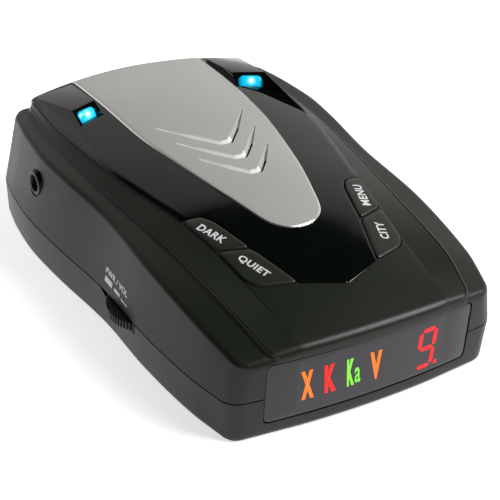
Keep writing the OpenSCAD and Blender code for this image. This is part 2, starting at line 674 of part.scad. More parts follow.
module release_spring() {
    arm_top = slot_z + slot_h + 2.3;
    rise = board_top - board_t - arm_top;
    turns = 3;
    steps = 16;
    wire = 0.25;
    r = 1.8;
    sides = 6;
    count = turns*steps;
    points = [for (i = [0:count], k = [0:sides - 1])
        let(a = 360*i/steps, b = 360*k/sides, z = wire + 0.02 + (rise - 2*wire - 0.04)*i/count)
        [(r + wire*cos(b))*cos(a), (r + wire*cos(b))*sin(a), z + wire*sin(b)]];
    faces = concat([for (i = [0:count - 1], k = [0:sides - 1])
            let(p = i*sides + k, q = i*sides + (k + 1)%sides)
            each [[p, p + sides, q + sides], [p, q + sides, q]]],
        [[for (k = [0:sides - 1]) k]], [[for (k = [sides - 1:-1:0]) count*sides + k]]);
    color([0.8, 0.8, 0.8]) translate([0, release_at[1] - 1.2, arm_top]) polyhedron(points, faces);
}

module case_screws() {
    color([0.7, 0.7, 0.72]) for (p = case_screw_at) translate([p[0], p[1], 4.2]) difference() {
        union() {
            cylinder(h = 1.78, r = 2.05);
            cylinder(h = 11, r = 1.05);
        }
        for (turn = [0, 90]) rotate([0, 0, turn]) translate([-1.2, -0.25, -0.1]) cube([2.4, 0.5, 1]);
    }
}

module board_screws() {
    low = board_top - board_t - 1.4;
    color([0.7, 0.7, 0.72]) for (p = board_screw_at) translate([p[0], p[1], low]) difference() {
        union() {
            cylinder(h = 1.38, r = 1.8);
            cylinder(h = 6, r = 0.8);
        }
        for (turn = [0, 90]) rotate([0, 0, turn]) translate([-1, -0.2, -0.1]) cube([2, 0.4, 0.8]);
    }
}

module rating_label() {
    color([0.8, 0.8, 0.78]) translate([0, -40, 0.03]) linear_extrude(0.25) square([32, 8], center = true);
}

top_case();
bottom_case();
gloss_panel();
silver_plate();
display_lens();
dark_button();
quiet_button();
menu_button();
city_button();
periscope_left();
periscope_right();
periscope_lamps();
main_board();
display_board();
icon_housing();
icon_lamps();
digit_module();
board_header();
key_switches();
processor_chip();
amplifier_chip();
capacitors();
crystal();
horn_antenna();
mixer_shield();
laser_window();
laser_sensor();
speaker_frame();
speaker_cone();
speaker_contacts();
volume_wheel();
volume_control();
power_jack();
release_button();
release_spring();
case_screws();
board_screws();
rating_label();
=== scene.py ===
"""Radar detector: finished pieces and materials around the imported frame.

Curves and sizes inside the functions are in millimetres; meshes are in metres.
"""
import math

import bmesh
import bpy
from bpy.props import FloatProperty, FloatVectorProperty, IntProperty, PointerProperty
from mathutils import Matrix, Vector


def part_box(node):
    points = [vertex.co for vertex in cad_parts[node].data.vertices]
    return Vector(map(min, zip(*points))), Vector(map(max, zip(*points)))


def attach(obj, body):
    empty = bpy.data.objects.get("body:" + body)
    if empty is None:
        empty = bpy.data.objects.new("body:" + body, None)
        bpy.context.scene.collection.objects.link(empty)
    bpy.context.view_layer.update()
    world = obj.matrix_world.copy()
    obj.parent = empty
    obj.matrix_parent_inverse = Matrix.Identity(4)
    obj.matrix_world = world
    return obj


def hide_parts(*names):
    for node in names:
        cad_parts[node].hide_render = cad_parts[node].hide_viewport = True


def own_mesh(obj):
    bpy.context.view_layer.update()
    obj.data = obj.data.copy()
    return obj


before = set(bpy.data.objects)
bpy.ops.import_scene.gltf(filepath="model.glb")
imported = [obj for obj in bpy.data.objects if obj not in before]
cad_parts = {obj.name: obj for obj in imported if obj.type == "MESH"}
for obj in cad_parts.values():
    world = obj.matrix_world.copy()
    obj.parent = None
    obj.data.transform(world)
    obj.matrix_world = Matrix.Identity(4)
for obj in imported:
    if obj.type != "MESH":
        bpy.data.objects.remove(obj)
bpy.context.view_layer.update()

bl_info = {
    "name": "Radar detector",
    "version": (1, 0, 0),
    "blender": (4, 5, 0),
    "location": "View3D > Sidebar > Detector",
    "description": "Builds the detector's case, trim, controls, display and stage",
    "category": "Object",
}

MM = 0.001
CASE_LOW, CASE_HIGH = (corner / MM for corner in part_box("top_case"))
SIDES = (-1, 1)
# Points closer than this, in metres, count as one
SAME_PLACE = 1e-7
# Thickness of printed and lit marks
INK = 0.03


# ---------------------------------------------------------------- settings

def distance(name, text, millimetres):
    """A length a user can change, given here in millimetres."""
    return FloatProperty(name=name, description=text, default=millimetres * MM,
                         subtype="DISTANCE", unit="LENGTH", precision=5)


def colour(name, text, value):
    """A linear colour a user can change."""
    return FloatVectorProperty(name=name, description=text, default=value,
                               subtype="COLOR", size=3, min=0.0, max=1.0)


class CaseSettings(bpy.types.PropertyGroup):
    """Sizes and finish of the two case shells."""
    length: distance("Length", "Driver's face to windscreen face", CASE_HIGH.y - CASE_LOW.y)
    width: distance("Width", "Width at the widest place", 76.45)
    crown: distance("Crown", "Height of the crown along the middle",
                    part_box("silver_plate")[1].z / MM - 0.6)
    split: distance("Split", "Height of the joint between the shells", CASE_LOW.z)
    wall: distance("Wall", "Wall thickness of both shells", 1.8)
    near_corner: distance("Near corner", "Plan corner radius at the driver's end", 3.0)
    far_corner: distance("Far corner", "Plan corner radius at the windscreen end", 5.0)
    parting: distance("Parting line", "Depth of the groove along the joint", 0.45)
    plastic: colour("Plastic", "Colour of the case plastic", (0.0105, 0.0135, 0.009))
    roughness: FloatProperty(name="Roughness", description="Roughness of the case plastic",
                             default=0.36, min=0.0, max=1.0, subtype="FACTOR")


class TrimSettings(bpy.types.PropertyGroup):
    """Gloss panel, hoods and metallic inlay."""
    panel_lift: distance("Panel lift", "How far the gloss panel stands above the case", 0.25)
    panel_thick: distance("Panel thickness", "Thickness of the gloss panel", 1.75)
    inlay_lift: distance("Inlay lift", "How far the inlay stands above the case", 0.6)
    inlay_edge: distance("Inlay edge", "Bright bevel round the inlay", 0.34)
    gloss: colour("Gloss black", "Colour of the gloss panel", (0.0022, 0.0034, 0.0022))
    silver: colour("Silver", "Colour of the inlay", (0.5, 0.495, 0.475))
    glow: colour("Alert light", "Colour of the lit periscopes", (0.0, 0.4, 0.62))


class ControlSettings(bpy.types.PropertyGroup):
    """Keys, thumbwheel, socket and release button."""
    key_lift: distance("Key lift", "How far the keys stand above the case", 0.35)
    key_gap: distance("Key gap", "Gap round each key", 0.2)
    wheel_radius: distance("Wheel radius", "Radius over the knurls", 9.0)
    wheel_thick: distance("Wheel thickness", "Thickness of the thumbwheel", 1.9)
    knurls: IntProperty(name="Knurls", description="Knurls round the thumbwheel",
                        default=72, min=12, max=90)
    legend: colour("Legend", "Colour of the printed legends", (0.72, 0.73, 0.72))


class DisplaySettings(bpy.types.PropertyGroup):
    """Display lens and its lit marks."""
    lens_w: distance("Lens width", "Width of the display lens", 48.0)
    lens_h: distance("Lens height", "Height of the display lens", 13.6)
    window: colour("Window", "Colour of the unlit window", (0.016, 0.0135, 0.018))
    amber: colour("Amber", "Colour of the amber marks", (0.85, 0.15, 0.012))
    red: colour("Red", "Colour of the red mark", (0.8, 0.012, 0.01))
    green: colour("Green", "Colour of the green mark", (0.17, 0.6, 0.04))
    digit: colour("Digit", "Colour of the digit", (0.72, 0.012, 0.016))


class StageSettings(bpy.types.PropertyGroup):
    """Floor, light and camera."""
    floor: colour("Floor", "Colour of the floor", (0.9, 0.9, 0.9))
    azimuth: FloatProperty(name="Azimuth", description="Camera angle round the object",
                           default=math.radians(-32.75), subtype="ANGLE")
    elevation: FloatProperty(name="Elevation", description="Camera angle above the horizon",
                             default=math.radians(32.55), subtype="ANGLE")
    roll: FloatProperty(name="Roll", description="Camera roll",
                        default=math.radians(3.86), subtype="ANGLE")
    away: distance("Distance", "Camera distance from its target", 290.8)
    target: FloatVectorProperty(name="Target", description="Point the camera looks at",
                                default=(-0.00336, -0.01078, 0.0132), subtype="TRANSLATION")


# ---------------------------------------------------------------- curves of the case

# Plan half widths as a share of the half width, along the length from -1 to 1
WALL_RUN = ((-1, 0.815), (-0.7, 0.888), (-0.41, 0.922), (-0.1, 0.927), (0.3, 0.987), (0.57, 1), (1, 0.93))
RIM_RUN = ((-1, 0.765), (-0.75, 0.825), (-0.38, 0.862), (0, 0.862), (0.34, 0.909), (0.53, 0.919),
           (1, 0.846))
RIDGE_RUN = ((-1, 0.608), (-0.75, 0.663), (-0.38, 0.705), (0, 0.762), (0.23, 0.789), (0.51, 0.796),
             (1, 0.752))
EDGE_RUN = ((-1, 0.46), (-0.64, 0.486), (-0.25, 0.567), (0, 0.648), (0.19, 0.7), (0.38, 0.731),
            (0.6, 0.752),
            (1, 0.734))
# Heights as a share of the crown's height
RIM_RISE = ((-1, 0.59), (-0.75, 0.682), (-0.38, 0.768), (0, 0.808), (0.38, 0.834), (0.75, 0.834), (1, 0.82))
RIDGE_RISE = ((-1, 0.622), (-0.75, 0.736), (-0.38, 0.803), (0, 0.836), (0.38, 0.849), (1, 0.836))
EDGE_RISE = ((-1, 0.642), (-0.9, 0.686), (-0.45, 0.836), (-0.25, 0.873), (0, 0.886), (0.38, 0.903),
             (1, 0.896))
SPINE_RISE = ((-1, 0.649), (-0.79, 0.759), (-0.51, 0.856), (-0.25, 0.923), (0, 0.96), (0.38, 0.99),
              (0.66, 1),
              (1, 0.963))

# Plan radii of the driver's face and of the windscreen face
FACE_BOW = 212.0
TAIL_BOW = 150.0
# Radii of the upper edges at both ends, and of the base's edge
BROW = 1.3
TAIL = 1.6
BASE = 1.4
# Half widths along the length, in millimetres: the gloss panel's V and the inlay
PANEL_FRONT = ((-42, 0.4), (-38.6, 9.1), (-26.5, 13.05), (-16.2, 15.7), (-13.6, 17.6), (-12.9, 21.5))
INLAY_RUN = ((-24.8, 0.9), (-24.6, 2.2), (-24.1, 3.5), (-23.1, 4.9), (-21.6, 6.2), (-19.6, 7.1), (-17, 7.9),
             (-6.3, 10.9), (6.4, 13.6), (16, 15.3), (27, 16.1), (39, 16.5), (50.6, 16.8))
# Place of each chevron's tip, and how far its wings reach to each side
CHEVRONS = ((6.5, 11.0), (0.1, 9.9), (-6.15, 8.5))
# Corners of the two keys on the right; those on the left mirror them
FAR_KEY = ((21.3, -13.1), (17.7, -13.7), (16.1, -16.3), (13.3, -26.1), (19.7, -23.9))
NEAR_KEY = ((19.6, -24.5), (13.1, -26.8), (9.4, -38.2), (16.9, -35.8), (18.6, -33.4))
# Width and depth of a chevron's groove, and the share of its width that its flat floor takes
CHEVRON_WIDE = 1.45
CHEVRON_DEEP = 0.55
CHEVRON_FOOT = 0.4
# Places along the inlay's tip where its outline turns fastest
TIP_ROWS = (-24.6, -24.35, -24.1, -23.6, -23.1, -22.4, -21.6, -20.6, -19.6, -17)
# Height of the middle of the display lens
LENS_MID = 10.15


def lookup(run, at):
    """Straight-line value of a run of (place, value) points."""
    if at <= run[0][0]:
        return run[0][1]
    for (a, va), (b, vb) in zip(run, run[1:]):
        if at <= b:
            return va + (vb - va) * (at - a) / (b - a)
    return run[-1][1]


def curve(run, at):
    """Smooth curve through a run of (place, value) points."""
    i = 0
    while i < len(run) - 2 and at >= run[i + 1][0]:
        i += 1

    def rate(k):
        a, b = run[max(k - 1, 0)], run[min(k + 1, len(run) - 1)]
        return (b[1] - a[1]) / (b[0] - a[0])

    h = run[i + 1][0] - run[i][0]
    t = (at - run[i][0]) / h
    return ((2 * t**3 - 3 * t**2 + 1) * run[i][1] + (t**3 - 2 * t**2 + t) * h * rate(i)
            + (3 * t**2 - 2 * t**3) * run[i + 1][1] + (t**3 - t**2) * h * rate(i + 1))


def pull_in(depth, radius):
    """How far a rounded edge has pulled in at a depth from a face."""
    return 0.0 if depth >= radius else radius - math.sqrt(max(0.0, radius**2 - (radius - depth) ** 2))


class Form:
    """The case's curves, in millimetres."""

    def __init__(self, case):
        self.half_l = case.length / MM / 2
        self.half_w = case.width / MM / 2
        self.crown_h = case.crown / MM
        self.split = case.split / MM
        self.wall = case.wall / MM
        self.near_r = case.near_corner / MM
        self.far_r = case.far_corner / MM
        self.parting = case.parting / MM
        self.panel_far = self.half_l - 2.4

    def run(self, points, y):
        """Half width of one of the plan curves at a place along the length."""
        return self.half_w * curve(points, max(-1, min(1, y / self.half_l)))

    def rise(self, points, y):
        """Height of one of the side curves at a place along the length."""
        return self.crown_h * curve(points, max(-1, min(1, y / self.half_l)))

    def crown(self, x, y):
        """Height of the top surface between the two ridges."""
        ax, xe = abs(x), self.run(EDGE_RUN, y)
        spine, edge = self.rise(SPINE_RISE, y), self.rise(EDGE_RISE, y)
        if ax <= xe:
            return spine - (spine - edge) * (ax / xe) ** 2
        xs = self.run(RIDGE_RUN, y)
        return edge + (self.rise(RIDGE_RISE, y) - edge) * (ax - xe) / (xs - xe)

    def bowed(self, x, y):
        """Both end faces are bowed in plan, and the bow fades out along the body."""
        near = max(0.0, 1 - (y + self.half_l) / 12)
        far = max(0.0, 1 - (self.half_l - y) / 14)
        return y + x * x / (2 * FACE_BOW) * near - x * x / (2 * TAIL_BOW) * far

    def face(self, x, depth):
        """The driver's face, or a surface at a depth behind it."""
        return -self.half_l + depth + x * x / (2 * (FACE_BOW - depth))

    def wall_at(self, y, z):
        """Half width of the upper wall at a height."""
        low, high = self.run(WALL_RUN, y), self.run(RIM_RUN, y)
        top = self.rise(RIM_RISE, y)
        return low + (high - low) * (z - self.split) / (top - self.split)

    def stations(self, inset, middle, near, far):
        """Places along the length, closer together round the plan corners."""
        low, high = -self.half_l + inset, self.half_l - inset
        span = high - low - self.near_r - self.far_r
        return ([low + self.near_r * (1 - math.cos(math.pi / 2 * k / near)) for k in range(near)]
                + [low + self.near_r + span * k / middle for k in range(middle)]
                + [high - self.far_r * (1 - math.cos(math.pi / 2 * k / far)) for k in range(far, -1, -1)])

    def panel_reach(self, y):
        """Half width of the gloss panel, which ends in a V at the driver's end."""
        return lookup(PANEL_FRONT, y) if y < PANEL_FRONT[-1][0] else self.run(EDGE_RUN, y) - 0.15

    def upper_half(self, y, inset, roof, fine):
        """Half section of the upper shell, from the spine to the joint."""
        d0, d1 = y + self.half_l - inset, self.half_l - inset - y
        inner = inset > 0
        xw, xr = self.run(WALL_RUN, y) - inset, self.run(RIM_RUN, y) - inset
        k = (xw - pull_in(d0, self.near_r) - pull_in(d1, self.far_r)) / xw
        drop = roof + pull_in(d0, 0.6 if inner else BROW) + pull_in(d1, 0.6 if inner else TAIL)
        xe, xs = self.run(EDGE_RUN, y), self.run(RIDGE_RUN, y)
        ridge = self.rise(RIDGE_RISE, y) - drop
        step = 0.2 if inner else 0.5
        rim = (xr, self.rise(RIM_RISE, y) - min(roof, self.wall) - (drop - roof))
        joint = self.split
        count = 14 if fine else 4
        path = [(xe * i / count, self.crown(xe * i / count, y) - drop) for i in range(count)]
        edge = self.crown(xe, y) - drop
        if inner:
            path += rounded([path[-1], (xe, edge), (xs, ridge), (xs + step, ridge - step), rim,
                             (xw, joint)],
                            (1.2, 0.35, 0.35, 0.8), 2)[1:]
        else:
            # A small step along the crease, then a hairline groove inside the ridge
            fall = 0.02 + 0.16 * max(0.0, min(1.0, (y + 48) / 13))
            slope = (ridge - edge) / (xs - xe)
            hair = [(xs - d, ridge - slope * d - low) for d,
                    low in ((0.62, 0.0), (0.42, 0.14), (0.24, 0.0))]
            path += rounded([path[-1], (xe, edge), (xe + fall, edge - fall), *hair, (xs, ridge),
                             (xs + step, ridge - step), rim, (xw, joint)],
                            (0.25, 0.2, 0.05, 0.05, 0.05, 0.3, 0.25, 1.0), 4)[1:]
        return [(x * k, z) for x, z in path]

    def lower_half(self, y, inset, fine):
        """Half section of the lower shell, from the middle of the base outwards."""
        d0, d1 = y + self.half_l - inset, self.half_l - inset - y
        inner = inset > 0
        radius = 0.6 if inner else BASE
        xw = self.run(WALL_RUN, y) - inset
        k = (xw - pull_in(d0, self.near_r) - pull_in(d1, self.far_r)) / xw
        rise = inset + pull_in(d0, radius) + pull_in(d1, radius)
        joint = self.split
        path = [(xw * 0.5 * t / 3, rise) for t in range(3)]
        path += rounded([path[-1], (xw / 2, rise), (xw - 0.6, rise), (xw, joint)],
                        (0.5, radius), 6 if fine else 2)[1:]
        return [(x * k, z) for x, z in path]


def seam_tool(form, low, high):
    """Ring that cuts the parting line into a shell, all the way round."""
    right = []
    for y in form.stations(0, 60, 10, 14):
        xw = form.run(WALL_RUN, y)
        x = xw - pull_in(y + form.half_l, form.near_r) - pull_in(form.half_l - y, form.far_r)
        right.append((x, form.bowed(x, y)))
    ends = []
    for x, y in ((right[0][0], -form.half_l), (right[-1][0], form.half_l)):
        ends.append([(x * t / 8, form.bowed(x * t / 8, y)) for t in range(-7, 8)])
    outline = ends[0] + right + ends[1][::-1] + [(-x, y) for x, y in right[::-1]]
    ring_tool = prism("seam", grown(outline, 1.5), form.split + low, form.split + high)
    return carve(ring_tool, prism("core", grown(outline, -form.parting), form.split + low - 1,
                                  form.split + high + 1))


def rounded(path, radii, steps):
    """A path of (x, z) points with its inner corners rounded."""
    out = [path[0]]
    for a, c, b, r in zip(path, path[1:], path[2:], radii):
        a, c, b = Vector(a), Vector(c), Vector(b)
        la, lb = max((a - c).length, 1e-6), max((b - c).length, 1e-6)
        r = min(r, la * 0.45, lb * 0.45)
        p, q = c + (a - c) * r / la, c + (b - c) * r / lb
        for i in range(steps + 1):
            t = i / steps
            out.append(tuple((p.lerp(c, t)).lerp(c.lerp(q, t), t)))
    out.append(path[-1])
    return out


def ring(points, radius, steps=5):
    """A closed outline with rounded corners."""
    loop = [points[-1], *points, points[0]]
    return rounded(loop, [radius] * len(points), steps)[1:-1]


def ring_of(path):
    """Closes an open outline by adding points along its last side."""
    a, b = Vector(path[-1]), Vector(path[0])
    return list(path) + [tuple(a.lerp(b, k / 6)) for k in range(1, 6)]


def grown(outline, by):
    """A closed outline moved outwards, whichever way round it runs."""
    n = len(outline)
    area = sum(outline[i][0] * outline[(i + 1) % n][1] - outline[(i + 1) % n][0] * outline[i][1]
               for i in range(n))
    turn = 1 if area > 0 else -1
    out = []
    for i, (x, y) in enumerate(outline):
        before, after = Vector(outline[i - 1]), Vector(outline[(i + 1) % n])
        along = (after - before).normalized()
        out.append((x + along.y * by * turn, y - along.x * by * turn))
    return out


def dense(outline, step):
    """A closed outline with extra points along its long sides."""
    out = []
    for a, b in zip(outline, outline[1:] + outline[:1]):
        a, b = Vector(a), Vector(b)
        count = max(1, math.ceil((b - a).length / step))
        out += [tuple(a.lerp(b, k / count)) for k in range(count)]
    return out


def box_ring(w, h, r, at=(0.0, 0.0), steps=5):
    """Outline of a rectangle with rounded corners."""
    x, y = at
    return ring([(x - w / 2, y - h / 2), (x + w / 2, y - h / 2), (x + w / 2, y + h / 2),
                 (x - w / 2, y + h / 2)],
                r, steps)


# ---------------------------------------------------------------- making meshes

def linked(name, data):
    """A new object on some data, in the scene."""
    obj = bpy.data.objects.new(name, data)
    bpy.context.scene.collection.objects.link(obj)
    return obj


def cleaned(obj):
    """Merges doubled points and turns all faces outwards."""
    return edit(obj, lambda bm: (bmesh.ops.remove_doubles(bm, verts=bm.verts, dist=SAME_PLACE),
                                 bmesh.ops.recalc_face_normals(bm, faces=bm.faces)))


def new_mesh(name, points, faces, turn_out=True):
    """A mesh object at the origin from points in millimetres."""
    mesh = bpy.data.meshes.new(name)
    mesh.from_pydata([(x * MM, y * MM, z * MM) for x, y, z in points], [], faces)
    obj = linked(name, mesh)
    return cleaned(obj) if turn_out else obj


def edit(obj, work):
    """Runs one bmesh step on an object's mesh."""
    bm = bmesh.new()
    bm.from_mesh(obj.data)
    work(bm)
    bm.to_mesh(obj.data)
    bm.free()
    return obj


def settle(obj):
    """Turns an object's modifiers into plain mesh."""
    graph = bpy.context.evaluated_depsgraph_get()
    mesh = bpy.data.meshes.new_from_object(obj.evaluated_get(graph))
    obj.modifiers.clear()
    old, obj.data = obj.data, mesh
    mesh.name = obj.name
    bpy.data.meshes.remove(old)
    return obj


def carve(obj, *tools, how="DIFFERENCE"):
    """Cuts tools out of an object, or joins them to it, and removes them."""
    for tool in tools:
        step = obj.modifiers.new("cut", "BOOLEAN")
        step.object, step.operation, step.solver = tool, how, "MANIFOLD"
    settle(obj)
    for tool in tools:
        bpy.data.objects.remove(tool)
    return obj


def nudged(obj, z):
    """Moves a cutting tool a hair along Z, clear of the face it would share."""
    return edit(obj, lambda bm: bmesh.ops.translate(bm, verts=bm.verts, vec=(0, 0, z * MM)))


def smooth(obj, angle=32):
    """Smooth shading, split at sharp edges."""
    edit(obj, lambda bm: bmesh.ops.dissolve_degenerate(bm, edges=bm.edges, dist=2e-7))
    obj.data.shade_smooth()
    obj.data.set_sharp_from_angle(angle=math.radians(angle))
    return obj


def soften(obj, width, segments=2, angle=25):
    """Rounds an object's sharp edges."""
    step = obj.modifiers.new("round", "BEVEL")
    step.width, step.segments, step.limit_method = width * MM, segments, "ANGLE"
    step.angle_limit = math.radians(angle)
    return settle(obj)


def finished(obj, material, body, replaces=()):
    """Gives a piece its material and says what it rides on and stands for."""
    obj.data.materials.clear()
    obj.data.materials.append(material)
    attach(obj, body)
    if replaces:
        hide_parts(*replaces)
    return obj


def skin(name, form, places, tops, lows):
    """Closed form through sections. Each has a top and a bottom chain of (x, z)
    points, from left to right, that share both ends."""
    m = len(tops[0]) - 1
    n = 2 * m
    points, faces = [], []
    for y, top, low in zip(places, tops, lows):
        points += [(x, form.bowed(x, y), z) for x, z in list(top) + list(low[m - 1:0:-1])]
    for i in range(len(places) - 1):
        for j in range(n):
            a, d = i * n + j, i * n + (j + 1) % n
            faces.append((a, a + n, d + n, d))
    for base in (0, (len(places) - 1) * n):
        for j in range(m):
            quad = [base + j, base + j + 1, base + n - j - 1, base + (n - j) % n]
            faces.append(tuple(dict.fromkeys(quad)))
    return new_mesh(name, points, faces)


def both_ways(half):
    """A half chain and its mirror image, from left to right."""
    return [(-x, z) for x, z in half[:0:-1]] + list(half)


def level(chain, height):
    """Level chain of the width and number of points of another one."""
    last = len(chain) - 1
    return [(chain[-1][0] * (2 * j / last - 1), height) for j in range(last + 1)]


def upper_form(form, name, inset, roof, middle, fine):
    """Upper shell, or the hollow inside it when inset is more than 0."""
    places = form.stations(inset, middle, *((10, 14) if fine else (4, 5)))
    near = -form.half_l
    tops = [both_ways(form.upper_half(y, inset,
                                      lookup(((near + 7, min(roof, form.wall)), (near + 12, roof)), y),
                                      fine)) for y in places]
    lows = [level(top, form.split) for top in tops]
    return skin(name, form, places, tops, lows)


def lower_form(form, name, inset, middle, fine):
    """Lower shell, or the hollow inside it when inset is more than 0."""
    places = form.stations(inset, middle, *((10, 14) if fine else (4, 5)))
    lows = [both_ways(form.lower_half(y, inset, fine)) for y in places]
    tops = [level(low, form.split) for low in lows]
    return skin(name, form, places, tops, lows)


def crown_slab(name, form, places, reach, top, bottom, edge, columns):
    """Slab that follows the crown, with its upper edge rounded."""
    tops, lows = [], []
    for y in places:
        x = reach(y)
        slope = (reach(y + 0.05) - reach(y - 0.05)) / 0.1
        wide = min(edge * math.hypot(1, slope), x * 0.8)
        ends = pull_in(y - places[0], edge) + pull_in(places[-1] - y, edge)
        half = [((x - wide) * t / columns, form.crown((x - wide) * t / columns, y) + top - ends)
                for t in range(columns + 1)]
        side = form.crown(x, y)
        if edge > 0:
            half += [(x - wide + wide * math.sin(a), side + top - ends - edge * (1 - math.cos(a)))
                     for a in (math.pi / 8, math.pi / 4, 3 * math.pi / 8, math.pi / 2)]
        half.append((x, side + bottom))
        low = [(hx, form.crown(hx, y) + bottom) for hx, _ in half[:-2]]
        low.append((x * 0.999, side + bottom))
        tops.append(both_ways(half))
        lows.append(both_ways(low + [half[-1]]))
    return skin(name, form, places, tops, lows)


def spread(values, step):
    """Fills in between values so that no gap is wider than a step."""
    out = [values[0]]
    for a, b in zip(values, values[1:]):
        n = max(1, math.ceil((b - a) / step))
        out += [a + (b - a) * k / n for k in range(1, n + 1)]
    return out


def prism_faces(n):
    """Faces of a prism whose points are its lower outline and then its upper one."""
    ends = [tuple(range(n)), tuple(range(2 * n - 1, n - 1, -1))]
    return ends + [(i, n + i, n + (i + 1) % n, (i + 1) % n) for i in range(n)]


def prism(name, outline, low, high, place=None):
    """Straight prism on an outline, along Z or as a matrix places it."""
    n = len(outline)
    points = [Vector((x, y, z)) for z in (low, high) for x, y in outline]
    if place is not None:
        points = [place @ p for p in points]
    return new_mesh(name, points, prism_faces(n))


def printed_bar(outline, place):
    """Thin bar of ink or light on an outline; place(x, y, z) maps it into the part."""
    points = [place(x, y, z) for z in (-INK / 2, INK / 2) for x, y in outline]
    return new_mesh("bar", points, prism_faces(len(outline)))


def rod(name, x, y, low, high, radius, steps=40, place=None):
    """Round rod along Z, or as a matrix places it."""
    outline = [(x + radius * math.cos(2 * math.pi * k / steps),
                y + radius * math.sin(2 * math.pi * k / steps))
               for k in range(steps)]
    return prism(name, outline, low, high, place)


def pebble(name, outline, top, bottom, edge, rings, place=None):
    """Closed slab on an outline with a rounded upper edge. top(x, y) and
    bottom(x, y) give its two surfaces; place maps (x, y, z) into the part."""
    n = len(outline)
    centre = (sum(p[0] for p in outline) / n, sum(p[1] for p in outline) / n)
    loops = [[(x, y, bottom(x, y)) for x, y in outline]]
    for a in (0, math.pi / 6, math.pi / 3, math.pi / 2):
        inner = grown(outline, -edge * (1 - math.cos(a)))
        loops.append([(x, y, top(x, y) - edge * (1 - math.sin(a))) for x, y in inner])
    rim = grown(outline, -edge)
    for k in range(1, rings):
        t = (k / rings) ** 0.8
        loops.append([(p, q, top(p, q)) for p, q in
                      ((x + (centre[0] - x) * t, y + (centre[1] - y) * t) for x, y in rim)])
    points = [p for loop in loops for p in loop]
    points += [(*centre, top(*centre)), (*centre, bottom(*centre))]
    if place is not None:
        points = [place(*p) for p in points]
    last = (len(loops) - 1) * n
    faces = [(i * n + j, i * n + (j + 1) % n, (i + 1) * n + (j + 1) % n, (i + 1) * n + j)
             for i in range(len(loops) - 1) for j in range(n)]
    faces += [(last + j, last + (j + 1) % n, len(points) - 2) for j in range(n)]
    faces += [(j, len(points) - 1, (j + 1) % n) for j in range(n)]
    return new_mesh(name, points, faces)


def lathe(name, profile, place, steps=56):
    """Closed profile of (radius, height) points turned about Z and placed."""
    n = len(profile)
    points, faces = [], []
    for k in range(steps):
        a = 2 * math.pi * k / steps
        points += [place @ Vector((r * math.cos(a), r * math.sin(a), h)) for r, h in profile]
    for k in range(steps):
        for j in range(n):
            a, b = k * n + j, k * n + (j + 1) % n
            c, d = (k + 1) % steps * n + (j + 1) % n, (k + 1) % steps * n + j
            faces.append((a, b, c, d))
    obj = new_mesh(name, points, faces, turn_out=False)
    edit(obj, lambda bm: (bmesh.ops.remove_doubles(bm, verts=bm.verts, dist=SAME_PLACE),
                          bmesh.ops.dissolve_degenerate(bm, edges=bm.edges, dist=1e-8),
                          bmesh.ops.delete(bm, geom=[e for e in bm.edges if e.is_wire], context="EDGES"),
                          bmesh.ops.recalc_face_normals(bm, faces=bm.faces)))
    return obj


def block(name, low, high, radius=0.0):
    """A box between two corners, with rounded edges."""
    (x0, y0, z0), (x1, y1, z1) = low, high
    obj = prism(name, [(x0, y0), (x1, y0), (x1, y1), (x0, y1)], z0, z1)
    return soften(obj, radius, 2) if radius else obj


def lettering(name, text, height, length, heavy, place, gap=1.05):
    """Raised lettering of a given height and length. place(x, y, z) maps its
    plane, in millimetres, into the part."""
    data = bpy.data.curves.new(name, "FONT")
    data.body, data.size = text, 1.0
    data.align_x = data.align_y = "CENTER"
    data.offset, data.extrude, data.space_character, data.resolution_u = heavy, 0.5, gap, 4
    source = linked(name + "_text", data)
    graph = bpy.context.evaluated_depsgraph_get()
    mesh = bpy.data.meshes.new_from_object(source.evaluated_get(graph))
    bpy.data.objects.remove(source)
    ys = [v.co.y for v in mesh.vertices]
    xs = [v.co.x for v in mesh.vertices]
    mid_x, mid_y = (min(xs) + max(xs)) / 2, (min(ys) + max(ys)) / 2
    tall, long = max(ys) - min(ys), max(xs) - min(xs)
    for v in mesh.vertices:
        x = (v.co.x - mid_x) / long * length
        y = (v.co.y - mid_y) / tall * height
        v.co = Vector(place(x, y, v.co.z * INK)) * MM
    return cleaned(linked(name, mesh))


def joined(name, parts):
    """Several objects as one mesh object."""
    bm = bmesh.new()
    for part in parts:
        bm.from_mesh(part.data)
    mesh = bpy.data.meshes.new(name)
    bm.to_mesh(mesh)
    bm.free()
    for part in parts:
        bpy.data.objects.remove(part)
    return linked(name, mesh)


# ---------------------------------------------------------------- materials

def add_node(tree, kind, links=None, **options):
    """Adds a node to a shader or geometry tree and returns its outputs. links maps
    an input's name or number to another node's output or to a value."""
    made = tree.nodes.new(kind)
    for key, value in options.items():
        setattr(made, key, value)
    for key, value in (links or {}).items():
        if isinstance(value, bpy.types.NodeSocket):
            tree.links.new(value, made.inputs[key])
        else:
            made.inputs[key].default_value = value
    return made.outputs


def node_math(tree, operation, a, b=0.0, c=0.0):
    """The result of one math node."""
    return add_node(tree, "ShaderNodeMath", {0: a, 1: b, 2: c}, operation=operation)["Value"]


def stretched(tree, noise, low, high):
    """Stretches the middle of a noise over a range."""
    return add_node(tree, "ShaderNodeMapRange", {"Value": noise, "From Min": 0.3, "From Max": 0.7,
                                                 "To Min": low, "To Max": high})["Result"]


def mixed(tree, factor, first, second):
    """Mixes two colours, each of them a node's output or plain values."""
    links = {"Factor": factor, "A": first, "B": second}
    return add_node(tree, "ShaderNodeMix", links, data_type="RGBA")["Result"]


def scaled(shade, factor):
    """A colour made lighter or darker, with full alpha."""
    return (*(min(1, c * factor) for c in shade), 1)


def fill_ramp(ramp, stops):
    """Gives a new colour ramp its (place, colour) stops."""
    ends = ramp.elements
    for end, (place, shade) in zip(ends, (stops[0], stops[-1])):
        end.position, end.color = place, (*shade, 1)
    for place, shade in stops[1:-1]:
        ends.new(place).color = (*shade, 1)


